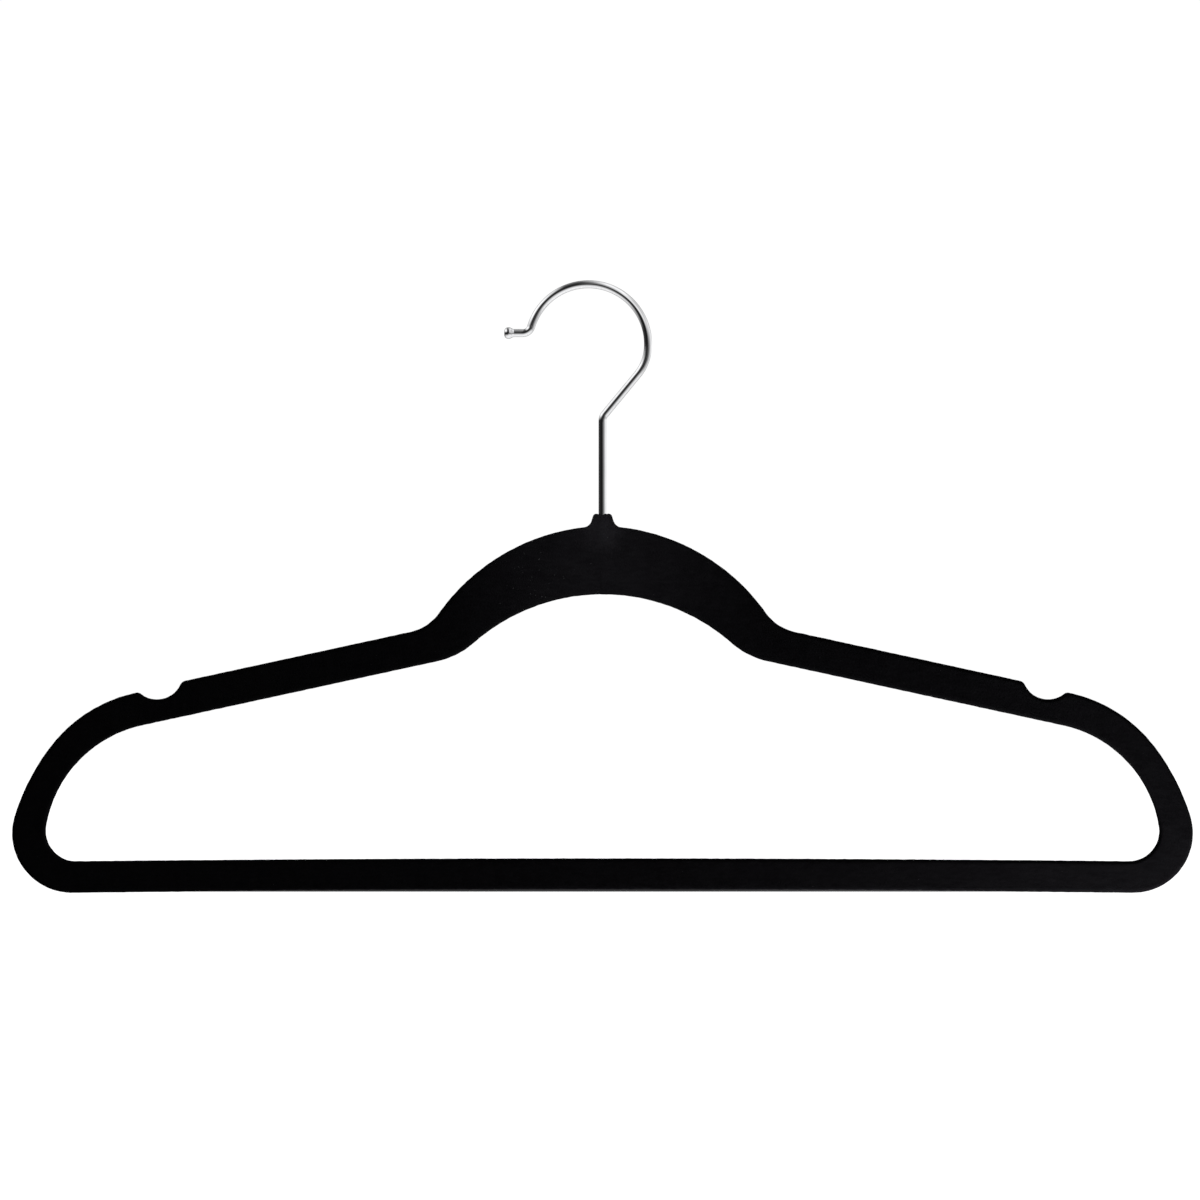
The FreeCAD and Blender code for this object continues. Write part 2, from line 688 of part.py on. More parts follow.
# ------------------------------------------------------------------------------- checks and export
for item in doc.Objects:
    if {"Invalid", "Error"} & set(item.State):
        raise RuntimeError(f"{item.Label}: {item.State}")
    if item.TypeId == "Sketcher::SketchObject" and not item.FullyConstrained:
        raise RuntimeError(f"{item.Label} is not fully constrained")
for piece in pieces:
    if piece.Shape.isNull() or not piece.Shape.isValid() or len(piece.Shape.Solids) != 1:
        raise RuntimeError(f"{piece.Label} has no single valid solid")
    piece.Shape.exportStep(os.path.join("parts", f"{piece.Label}.step"))
    print(f"{piece.Label}: {piece.Shape.Volume:.0f} mm3")
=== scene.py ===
"""Looks of a flocked suit hanger: a velvet-covered body and a chromed swivel hook.

Metres throughout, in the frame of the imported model, whose origin is the rail seat.  The sizes in
the dataclasses are millimetres in the maker's drawing frame, which has x = 0 on the swivel axis
and z = 0 on the underside of the bar.
"""
import json
import logging
import math
from dataclasses import dataclass, field
from enum import Enum

import bpy
import numpy as np
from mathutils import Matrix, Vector


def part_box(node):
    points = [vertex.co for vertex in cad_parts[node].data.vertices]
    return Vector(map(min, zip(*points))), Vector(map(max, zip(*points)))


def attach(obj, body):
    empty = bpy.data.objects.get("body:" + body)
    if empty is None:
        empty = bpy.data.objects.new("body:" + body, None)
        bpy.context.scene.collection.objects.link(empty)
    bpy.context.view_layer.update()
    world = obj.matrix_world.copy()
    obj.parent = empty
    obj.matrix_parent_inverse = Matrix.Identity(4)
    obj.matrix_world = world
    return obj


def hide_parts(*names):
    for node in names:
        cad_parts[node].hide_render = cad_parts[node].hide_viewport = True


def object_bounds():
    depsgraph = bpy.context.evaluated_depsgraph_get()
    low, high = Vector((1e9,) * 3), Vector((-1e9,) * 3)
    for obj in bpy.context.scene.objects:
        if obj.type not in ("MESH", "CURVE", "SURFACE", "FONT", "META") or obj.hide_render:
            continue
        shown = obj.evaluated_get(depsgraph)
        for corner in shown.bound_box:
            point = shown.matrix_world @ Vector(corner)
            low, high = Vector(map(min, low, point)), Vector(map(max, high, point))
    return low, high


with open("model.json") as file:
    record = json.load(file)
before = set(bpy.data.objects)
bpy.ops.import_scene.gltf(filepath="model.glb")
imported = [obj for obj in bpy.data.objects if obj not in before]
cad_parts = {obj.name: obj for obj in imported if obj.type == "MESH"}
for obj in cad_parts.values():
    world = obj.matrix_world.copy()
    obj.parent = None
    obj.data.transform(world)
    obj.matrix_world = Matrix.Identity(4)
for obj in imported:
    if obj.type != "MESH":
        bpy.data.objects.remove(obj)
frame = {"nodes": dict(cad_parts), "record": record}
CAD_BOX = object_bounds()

Pair = tuple[float, float]
Triple = tuple[float, float, float]
Socket = bpy.types.NodeSocket

LOG = logging.getLogger("hanger")
MM = 0.001
TAU = 2.0 * math.pi
TINY = 1e-9


class Side(Enum):
    """Which side of an arc the material lies on."""

    INSIDE = 1
    OUTSIDE = -1


# ------------------------------------------------------------------------------ tangent outlines
@dataclass(frozen=True)
class Straight:
    """A straight stretch of an outline: the points p with p . normal = reach.

    Attributes:
        normal_deg: direction of the outward normal, in degrees from +X.
        reach: distance of the line from the drawing origin along that normal.
    """

    normal_deg: float
    reach: float

    @property
    def normal(self) -> np.ndarray:
        """The outward unit normal."""
        angle = math.radians(self.normal_deg)
        return np.array([math.cos(angle), math.sin(angle)])


@dataclass(frozen=True)
class Round:
    """An arc of an outline.  Without a centre it blends its two neighbours.

    Attributes:
        radius: the arc's radius.
        side: where the material lies.
        centre: the arc's centre, or None for a blend.
        near: a point near a blend's centre, to choose between the two solutions.
    """

    radius: float
    side: Side
    centre: Pair | None = None
    near: Pair = (0.0, 0.0)

    @property
    def signed(self) -> float:
        """The radius, negative where the material is outside the arc."""
        return self.radius * self.side.value


Curve = Straight | Round


def heading(way: np.ndarray) -> float:
    """Returns a vector's angle from +X, in radians."""
    return math.atan2(way[1], way[0])


def left_of(way: np.ndarray) -> np.ndarray:
    """Turns a vector, or each row of a table of them, a quarter turn to the left."""
    return np.stack([-way[..., 1], way[..., 0]], axis=-1)


def line_points(begin: np.ndarray, finish: np.ndarray, step: float) -> np.ndarray:
    """Returns even steps along a straight line, without its last point."""
    count = max(2, math.ceil(float(np.hypot(*(finish - begin))) / step))
    return begin + np.linspace(0.0, 1.0, count, endpoint=False)[:, None] * (finish - begin)


def arc_rays(first: float, turn: float, radius: float, step: float) -> np.ndarray:
    """Returns unit spokes (cos a, sin a) of an arc, without the last.

    Args:
        first: the first spoke's angle, in radians.
        turn: how far the arc turns, in radians, positive counter-clockwise.
        radius: the arc's radius.
        step: the largest distance between samples.

    Returns:
        One spoke per row, the angle a going evenly.
    """
    count = max(2, math.ceil(abs(turn) * radius / step))
    angle = first + turn * np.linspace(0.0, 1.0, count, endpoint=False)
    return np.stack([np.cos(angle), np.sin(angle)], axis=1)


def blend_centre(before: Curve, after: Curve, blend: Round) -> np.ndarray:
    """Finds the centre of an arc that is tangent to both of its neighbours.

    The centre of an arc of signed radius r lies at distance |R - r| from a neighbouring arc's
    centre, and at height (reach - r) above a neighbouring line's origin, so it is where two such
    circles, or a circle and a line, cross.

    Args:
        before: the curve before the blend.
        after: the curve after it.
        blend: the blend, with its radius, side and a nearby point.

    Returns:
        The centre that is nearest to blend.near.
    """
    if isinstance(before, Straight):
        before, after = after, before
    start = np.array(before.centre)
    span = abs(before.signed - blend.signed)
    if isinstance(after, Straight):
        along = left_of(after.normal)
        base = after.normal * (after.reach - blend.signed)
        lead = float((start - base) @ along)
        half = math.sqrt(span**2 - float((start - base) @ after.normal) ** 2)
        choices = [base + along * (lead + half), base + along * (lead - half)]
    else:
        gap = np.array(after.centre) - start
        length = float(np.hypot(*gap))
        other = abs(after.signed - blend.signed)
        lead = (span**2 - other**2 + length**2) / (2.0 * length)
        half = math.sqrt(span**2 - lead**2)
        across = left_of(gap) / length
        choices = [start + gap / length * lead + across * (sign * half) for sign in (1, -1)]
    near = np.array(blend.near)
    return min(choices, key=lambda centre: float(np.hypot(*(centre - near))))


@dataclass
class Chain:
    """A run of lines and arcs, each tangent to the next, sampled by arc length.

    Attributes:
        curves: the lines and arcs in order.
        start: the run's first point.
        end: its last point.
        stops: how far along the run each curve ends, after 0 for its start; filled by sample.
    """

    curves: list[Curve]
    start: Pair
    end: Pair
    stops: list[float] = field(default_factory=list)

    def solved(self) -> list[Curve]:
        """Works out every blend's centre.

        Returns:
            The curves, each arc with its centre.
        """
        done: list[Curve] = list(self.curves)
        for index, curve in enumerate(self.curves):
            if isinstance(curve, Round) and curve.centre is None:
                centre = blend_centre(self.curves[index - 1], self.curves[index + 1], curve)
                done[index] = Round(curve.radius, curve.side, (float(centre[0]), float(centre[1])))
        return done

    @staticmethod
    def touch(first: Curve, second: Curve) -> np.ndarray:
        """Finds where two neighbours touch: a foot on the line, or a point on the centres' line.

        Args:
            first: a line or an arc.
            second: the next one.

        Returns:
            The point.
        """
        if isinstance(first, Straight) or isinstance(second, Straight):
            line, arc = (first, second) if isinstance(first, Straight) else (second, first)
            centre = np.array(arc.centre)
            return centre + line.normal * (line.reach - centre @ line.normal)
        gap = np.array(second.centre) - np.array(first.centre)
        return np.array(first.centre) + gap / (first.signed - second.signed) * first.signed

    def sample(self, step: float) -> tuple[np.ndarray, np.ndarray]:
        """Walks the run in small even steps.

        An arc is centre + radius * (cos a, sin a), with the angle a going evenly from its first
        junction to its last by the shorter way; a line is a straight blend of its two ends.

        Args:
            step: the largest distance between samples.

        Returns:
            The points, one row each, and their outward unit normals.
        """
        curves = self.solved()
        ends = [np.array(self.start)]
        ends += [self.touch(first, second) for first, second in zip(curves, curves[1:])]
        ends.append(np.array(self.end))
        points, normals, self.stops = [], [], [0.0]
        for curve, begin, finish in zip(curves, ends, ends[1:]):
            if isinstance(curve, Straight):
                length = float(np.hypot(*(finish - begin)))
                points.append(line_points(begin, finish, step))
                normals.append(np.tile(curve.normal, (len(points[-1]), 1)))
            else:
                centre = np.array(curve.centre)
                first = heading(begin - centre)
                turn = (heading(finish - centre) - first + math.pi) % TAU - math.pi
                length = abs(turn) * curve.radius
                ray = arc_rays(first, turn, curve.radius, step)
                points.append(centre + curve.radius * ray)
                normals.append(ray * curve.side.value)
            self.stops.append(self.stops[-1] + length)
        points.append(ends[-1][None, :])
        normals.append(normals[-1][-1:])
        return np.concatenate(points), np.concatenate(normals)


def lengths(points: np.ndarray) -> np.ndarray:
    """Returns the distance along a polyline at each of its points."""
    steps = np.hypot(*np.diff(points, axis=0).T)
    return np.concatenate([[0.0], np.cumsum(steps)])


def resample(values: np.ndarray, at: np.ndarray, where: np.ndarray) -> np.ndarray:
    """Reads every column of a table at new places, by straight interpolation."""
    return np.stack([np.interp(where, at, column) for column in values.T], axis=1)


def smoothstep(low: float, high: float, value: np.ndarray) -> np.ndarray:
    """Returns 3 t^2 - 2 t^3, where t goes from 0 at low to 1 at high."""
    share = np.clip((value - low) / (high - low), 0.0, 1.0)
    return share * share * (3.0 - 2.0 * share)


# ----------------------------------------------------------------------------------- mesh making
def grid_faces(rows: int, columns: int, ring: bool) -> np.ndarray:
    """Lists the quads of a grid whose columns close on themselves.

    Args:
        rows: number of rows of vertices.
        columns: number of vertices in each row, which is a closed loop.
        ring: whether the last row joins the first.

    Returns:
        An array of four vertex numbers per quad.
    """
    row = np.arange(rows if ring else rows - 1)[:, None]
    column = np.arange(columns)[None, :]
    after, beside = (row + 1) % rows, (column + 1) % columns
    corners = ((row, column), (after, column), (after, beside), (row, beside))
    return np.stack([down * columns + along for down, along in corners], axis=-1).reshape(-1, 4)


def put_in_scene(name: str, data: bpy.types.ID) -> bpy.types.Object:
    """Makes an object and links it to the scene.

    Args:
        name: the object's name.
        data: its mesh, lens or light.

    Returns:
        The object.
    """
    made = bpy.data.objects.new(name, data)
    bpy.context.scene.collection.objects.link(made)
    return made


def make_mesh(name: str, grid: np.ndarray, ring: bool) -> bpy.types.Object:
    """Makes a closed smooth mesh of a grid of points in millimetres of the drawing frame.

    Args:
        name: the piece's name.
        grid: points, rows by columns by (x, y, z); each row is a closed loop.
        ring: whether the last row joins the first.  If not, both ends are closed with a fan.

    Returns:
        The new object, at the origin.
    """
    rows, columns = grid.shape[:2]
    points = grid.reshape(-1, 3)
    quads = grid_faces(rows, columns, ring)
    corners, sizes = quads.ravel(), np.full(len(quads), 4)
    if not ring:
        first = np.arange(columns)
        last = first + (rows - 1) * columns
        poles = np.array([grid[0].mean(axis=0), grid[-1].mean(axis=0)])
        low, high = len(points), len(points) + 1
        fan_low = np.stack([np.full(columns, low), first, np.roll(first, -1)], axis=1)
        fan_high = np.stack([np.full(columns, high), np.roll(last, -1), last], axis=1)
        points = np.concatenate([points, poles])
        corners = np.concatenate([corners, fan_low.ravel(), fan_high.ravel()])
        sizes = np.concatenate([sizes, np.full(2 * columns, 3)])
    mesh = bpy.data.meshes.new(name)
    mesh.vertices.add(len(points))
    mesh.vertices.foreach_set("co", to_frame(points).astype(np.float32).ravel())
    mesh.loops.add(len(corners))
    mesh.loops.foreach_set("vertex_index", corners.astype(np.int32))
    mesh.polygons.add(len(sizes))
    starts = np.concatenate([[0], np.cumsum(sizes)[:-1]])
    mesh.polygons.foreach_set("loop_start", starts.astype(np.int32))
    mesh.polygons.foreach_set("use_smooth", np.ones(len(sizes), dtype=bool))
    mesh.update(calc_edges=True)
    mesh.validate()
    return put_in_scene(name, mesh)


def swivel_axis() -> Vector:
    """Returns a point on the hinge's axis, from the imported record."""
    return Vector(frame["record"]["behaviour"]["joints"][0]["pos_m"])


def to_frame(points: np.ndarray) -> np.ndarray:
    """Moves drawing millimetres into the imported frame, in metres.

    The drawing's x = 0 is the swivel axis and its z = 0 is the lowest point of the body.
    """
    low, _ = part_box("flock_coat")
    return points * MM + np.array([swivel_axis().x, 0.0, low[2]])


def outward(grid: np.ndarray, ring: bool) -> np.ndarray:
    """Turns a grid's loops round if its faces point inwards.

    The signed volume is the sum of p . n over the faces, by the divergence theorem, where n is
    half the cross product of a quad's diagonals.

    Args:
        grid: points, rows by columns by (x, y, z).
        ring: whether the last row joins the first.

    Returns:
        The grid, with its columns reversed if the volume came out negative.
    """
    corners = grid.reshape(-1, 3)[grid_faces(*grid.shape[:2], ring)]
    cross = np.cross(corners[:, 2] - corners[:, 0], corners[:, 3] - corners[:, 1])
    volume = float((corners.mean(axis=1) * cross).sum())
    return grid if volume > 0.0 else grid[:, ::-1]


def grid_normals(grid: np.ndarray, ring: bool) -> np.ndarray:
    """Works out unit normals, the cross product of the central differences along both parameters.

    Args:
        grid: points, rows by columns by (x, y, z); each row is a closed loop.
        ring: whether the last row joins the first.

    Returns:
        One normal per point.
    """
    around = np.roll(grid, -1, axis=1) - np.roll(grid, 1, axis=1)
    if ring:
        along = np.roll(grid, -1, axis=0) - np.roll(grid, 1, axis=0)
    else:
        along = np.gradient(grid, axis=0)
    normal = np.cross(along, around)
    return normal / np.maximum(np.linalg.norm(normal, axis=2, keepdims=True), TINY)


def waves(
    points: np.ndarray, length: float, seed: int, spread: Pair = (0.7, 1.5), count: int = 28
) -> np.ndarray:
    """Sums plane waves of random direction and phase: a smooth noise of unit spread.

    Args:
        points: the places to read, in millimetres, with (x, y, z) in the last axis.
        length: the usual wavelength.
        seed: the seed of the random draw.
        spread: the shortest and longest wavelength, as shares of the usual one.
        count: how many waves.

    Returns:
        One value per point.
    """
    draw = np.random.default_rng(seed)
    direction = draw.normal(size=(count, 3))
    direction /= np.linalg.norm(direction, axis=1, keepdims=True)
    number = TAU / (length * draw.uniform(*spread, count))
    phase = draw.uniform(0.0, TAU, count)
    total = np.zeros(points.shape[:-1])
    for ray, rate, shift in zip(direction, number, phase):
        total += np.sin(points @ (ray * rate) + shift)
    return total * math.sqrt(2.0 / count)


# ----------------------------------------------------------------------------------- the hanger
@dataclass
class FlockedBody:
    """The flock-covered body: arms, arch, neck, strap notches and trouser bar, one closed skin.

    Sizes are millimetres in the drawing frame.

    Attributes:
        bar_limit: the height below which the skin is the trouser bar's, and bows with it.
        arch_level: the height above which the outside edge is the arch's or the neck's.
        neck_reach: how far from the axis the neck's smaller edge round begins and stops to fade.
        boss_rise: the heights between which the neck swells.
        bore_soft: how far inside and outside the bore's radius its rim is rounded.
        fine_nap: the height of the finer nap beside the coarser.
        neck_dense: how far from the axis the stations begin and stop to thin out.
        notch_dense: the same from the notch's middle.
        unpaired: junctions of the outside edge that have no match on the opening's edge.
        crowding: how far the face's vertices crowd towards both edges, as a share of its width.
    """

    width: float = 445.0
    depth: float = 5.0
    edge: float = 1.3
    nose_radius: float = 22.4
    bar_height: float = 11.8
    bar_limit: float = 20.0
    bar_bow: float = 1.05
    bow_half: float = 198.0
    opening_width: float = 420.0
    opening_corner: float = 11.4
    arch_under_radius: float = 73.6
    arch_under_z: float = 38.9
    arch_level: float = 100.0
    neck_top: float = 142.85
    neck_reach: Pair = (5.0, 10.0)
    neck_edge_loss: float = 0.35
    ear_radius: float = 1.35
    ear_x: float = 2.3
    mouth_radius: float = 5.0
    flank_deg: float = 18.0
    boss_radius: float = 3.8
    boss_rise: Pair = (112.0, 132.0)
    boss_width: Pair = (14.0, 5.2)
    bore_radius: float = 1.72
    bore_depth: float = 1.6
    bore_soft: Pair = (0.12, 0.16)
    rim_depth: float = 1.3
    seam_height: float = 0.07
    seam_width: float = 0.3
    nap_height: float = 0.0224
    nap_lengths: Pair = (3.2, 1.3)
    fine_nap: float = 0.6
    outline_step: float = 0.04
    stations: int = 1600
    neck_density: float = 6.0
    neck_dense: Pair = (6.0, 12.0)
    notch_density: float = 1.2
    notch_dense: Pair = (13.0, 20.0)
    notch_middle: Pair = (167.0, 78.0)
    unpaired: tuple[int, ...] = (1, 2, 3, 8)
    side_cells: int = 12
    edge_cells: int = 5
    face_cells: int = 11
    inner_cells: int = 6
    crowding: float = 0.06

    def outer_chain(self) -> Chain:
        """Draws the right-hand half of the outside edge.

        Returns:
            The run from the neck's middle to the bar's middle.
        """
        ear_z = self.neck_top - self.ear_radius
        mouth_z = ear_z + math.sqrt((self.mouth_radius + self.ear_radius) ** 2 - self.ear_x**2)
        flank = Straight(self.flank_deg, 0.0)
        reach = float(flank.normal @ np.array([self.ear_x, ear_z])) + self.ear_radius
        nose = self.nose_radius
        curves: list[Curve] = [
            Round(self.mouth_radius, Side.OUTSIDE, (0.0, mouth_z)),
            Round(self.ear_radius, Side.INSIDE, (self.ear_x, ear_z)),
            Straight(self.flank_deg, reach),
            Round(3.4, Side.OUTSIDE, near=(7.2, 141.0)),
            Round(78.0, Side.INSIDE, (-2.0, 60.25)),
            Round(18.0, Side.OUTSIDE, near=(76.0, 116.0)),
            Straight(77.75, 111.4),
            Round(2.6, Side.INSIDE, near=(157.0, 77.0)),
            Round(9.8, Side.OUTSIDE, (168.0, 82.6)),
            Round(2.2, Side.INSIDE, near=(175.5, 73.0)),
            Round(54.0, Side.INSIDE, (165.0, nose)),
            Round(82.0, Side.INSIDE, near=(143.0, 5.0)),
            Round(nose, Side.INSIDE, (self.width / 2.0 - nose, nose)),
            Straight(-90.0, 0.0),
        ]
        return Chain(curves, start=(0.0, mouth_z - self.mouth_radius), end=(0.0, 0.0))

    def inner_chain(self) -> Chain:
        """Draws the right-hand half of the opening's edge.

        Returns:
            The run from the arch's middle to the bar's middle.
        """
        corner, arch, arch_z = self.opening_corner, self.arch_under_radius, self.arch_under_z
        curves: list[Curve] = [
            Round(arch, Side.OUTSIDE, (0.0, arch_z)),
            Round(31.0, Side.INSIDE, near=(69.0, 117.5)),
            Straight(-102.25, -98.5),
            Round(46.7, Side.OUTSIDE, near=(163.8, 17.4)),
            Round(corner, Side.OUTSIDE, (self.opening_width / 2.0 - corner, self.bar_height + corner)),
            Straight(90.0, self.bar_height),
        ]
        return Chain(curves, start=(0.0, arch_z + arch), end=(0.0, self.bar_height))

    def spacing(self, outer: np.ndarray) -> np.ndarray:
        """Says how densely stations are wanted: most at the neck and the notches.

        The density is 1, plus the neck's and the notch's own, each fading with the distance from
        its middle as 1 - smoothstep.

        Args:
            outer: points of the outside edge, one row each.

        Returns:
            One density per point.
        """
        x, z = outer.T
        at_neck = (1.0 - smoothstep(*self.neck_dense, np.abs(x))) * (z > self.arch_level)
        from_notch = np.hypot(x - self.notch_middle[0], z - self.notch_middle[1])
        at_notch = 1.0 - smoothstep(*self.notch_dense, from_notch)
        return 1.0 + self.neck_density * at_neck + self.notch_density * at_notch

    def edge_pairs(self) -> tuple[np.ndarray, ...]:
        """Pairs the outside edge with the opening's edge, station by station, round the ring.

        Each junction of the outside edge is paired with the nearest point of the opening's edge,
        and between junctions both lengths go in proportion.  The left half is the right half
        with x reversed.

        Returns:
            Outside points, their normals, opening points and their normals, one row per station.
        """
        outer_chain = self.outer_chain()
        outer, outer_normal = outer_chain.sample(self.outline_step)
        inner, inner_normal = self.inner_chain().sample(self.outline_step)
        outer_at, inner_at = lengths(outer), lengths(inner)
        stops = np.delete(outer_chain.stops, self.unpaired)
        marks = resample(outer, outer_at, stops)
        nearest = np.argmin(((marks[:, None] - inner[None]) ** 2).sum(axis=2), axis=1)
        matches = inner_at[nearest]
        matches[0], matches[-1] = 0.0, inner_at[-1]
        wanted = self.spacing(outer)
        effort = np.cumsum(np.diff(outer_at) * (wanted[1:] + wanted[:-1]) / 2.0)
        effort = np.concatenate([[0.0], effort])
        half = np.linspace(0.0, effort[-1], self.stations // 2 + 1)
        outer_where = np.interp(half, effort, outer_at)
        inner_where = np.interp(outer_where, stops, matches)
        right = [resample(table, outer_at, outer_where) for table in (outer, outer_normal)]
        right += [resample(table, inner_at, inner_where) for table in (inner, inner_normal)]
        flip = np.array([-1.0, 1.0])
        ring = [np.concatenate([part, part[-2:0:-1] * flip]) for part in right]
        for normal in (ring[1], ring[3]):
            normal /= np.linalg.norm(normal, axis=1, keepdims=True)
        return tuple(ring)

    def section(self) -> tuple[np.ndarray, ...]:
        """Lists the section's vertices once round, as shares of its sizes.

        A quarter round of radius e is e * (1 - cos a) in from the edge and e * sin a out of the
        side wall.

        Returns:
            Four arrays: how far across from outside to opening (0 to 1), how far in from the edge
            as a share of e, and the shares of the side wall's half width and of e in y.
        """
        arc = np.linspace(0.0, math.pi / 2.0, self.edge_cells + 1)[1:]
        back = arc[::-1]
        face = np.linspace(0.0, 1.0, self.face_cells + 1)[1:-1]
        face = face - self.crowding * np.sin(TAU * face)
        parts = [
            (0.0, 0.0, np.linspace(-1.0, 1.0, self.side_cells + 1), 0.0),
            (0.0, 1.0 - np.cos(arc), 1.0, np.sin(arc)),
            (face, 1.0, 1.0, 1.0),
            (1.0, 1.0 - np.cos(back), 1.0, np.sin(back)),
            (1.0, 0.0, np.linspace(1.0, -1.0, self.inner_cells + 1), 0.0),
            (1.0, 1.0 - np.cos(arc), -1.0, -np.sin(arc)),
            (face[::-1], 1.0, -1.0, -1.0),
            (0.0, 1.0 - np.cos(back), -1.0, -np.sin(back)),
        ]
        columns = zip(*(np.broadcast_arrays(*part) for part in parts))
        return tuple(np.concatenate(column) for column in columns)

    def grid(self) -> np.ndarray:
        """Works out the skin as a ring of rounded rectangular sections.

        A vertex lies between the outside edge, moved in along its normal, and the opening's
        edge, moved in along its normal; y comes from the side wall and the quarter rounds.

        Returns:
            Points, stations by section vertices by (x, y, z).
        """
        outer, outer_normal, inner, inner_normal = self.edge_pairs()
        across, inset, side, rise = self.section()
        half = self.depth / 2.0
        at_neck = 1.0 - smoothstep(*self.neck_reach, np.abs(outer[:, 0]))
        at_neck = (at_neck * (outer[:, 1] > self.arch_level))[:, None]
        edge = self.edge - self.neck_edge_loss * at_neck
        ridge = self.seam_height * np.exp(-((side * (half - self.edge) / self.seam_width) ** 2))
        ridge = np.where(rise == 0.0, ridge, 0.0)
        outer_in = edge * inset - ridge * (1.0 - at_neck)
        inner_in = self.edge * inset - ridge
        from_outer = outer[:, None] - outer_normal[:, None] * outer_in[..., None]
        from_inner = inner[:, None] - inner_normal[:, None] * inner_in[:, None]
        x, z = np.moveaxis(from_outer + across[:, None] * (from_inner - from_outer), 2, 0)
        half_edge = np.where(across < 0.5, edge, self.edge)
        y = (side * (half - half_edge) + rise * half_edge) * self.boss(x, z) / half
        bow = self.bar_bow * np.clip(1.0 - (x / self.bow_half) ** 2, 0.0, 1.0) * (z < self.bar_limit)
        grid = outward(np.stack([x, y, z + bow], axis=2), ring=True)
        coarse, fine = self.nap_lengths
        nap = waves(grid, coarse, seed=4) + self.fine_nap * waves(grid, fine, seed=5)
        grid = grid + grid_normals(grid, ring=True) * (self.nap_height * nap)[..., None]
        return self.bored(grid)

    def boss(self, x: np.ndarray, z: np.ndarray) -> np.ndarray:
        """Works out the skin's half depth: the plate's, swollen towards the neck on both faces.

        The swelling is height * (1 - (x / w)^2)^2, a bell whose height grows smoothly up the arch
        and whose half width w narrows on the way.

        Args:
            x: how far each point is from the swivel axis.
            z: its height.

        Returns:
            One half depth per point.
        """
        plate, height = self.depth / 2.0, self.boss_radius - self.depth / 2.0
        width = np.interp(z, self.boss_rise, self.boss_width)
        bell = np.clip(1.0 - (x / width) ** 2, 0.0, 1.0) ** 2
        return plate + height * smoothstep(*self.boss_rise, z) * bell

    def bored(self, grid: np.ndarray) -> np.ndarray:
        """Sinks the round mouth of the bore into the top of the neck.

        A point near the top drops by depth * (1 - smoothstep) of its distance from the axis.

        Args:
            grid: the skin's points.

        Returns:
            The points, with those of the mouth lowered.
        """
        x, y, z = np.moveaxis(grid, 2, 0)
        from_axis = np.hypot(x, y)
        low, high = self.bore_radius - self.bore_soft[0], self.bore_radius + self.bore_soft[1]
        sunk = 1.0 - smoothstep(low, high, from_axis)
        on_top = z > self.neck_top - self.rim_depth
        lowered = np.where(on_top, z - self.bore_depth * sunk, z)
        return np.stack([x, y, lowered], axis=2)

    def build(self) -> bpy.types.Object:
        """Makes the skin, and puts it in place of the plain coat.

        Returns:
            The new piece.
        """
        piece = make_mesh("flock_skin", self.grid(), ring=True)
        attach(piece, "hanger")
        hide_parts("flock_coat")
        return piece


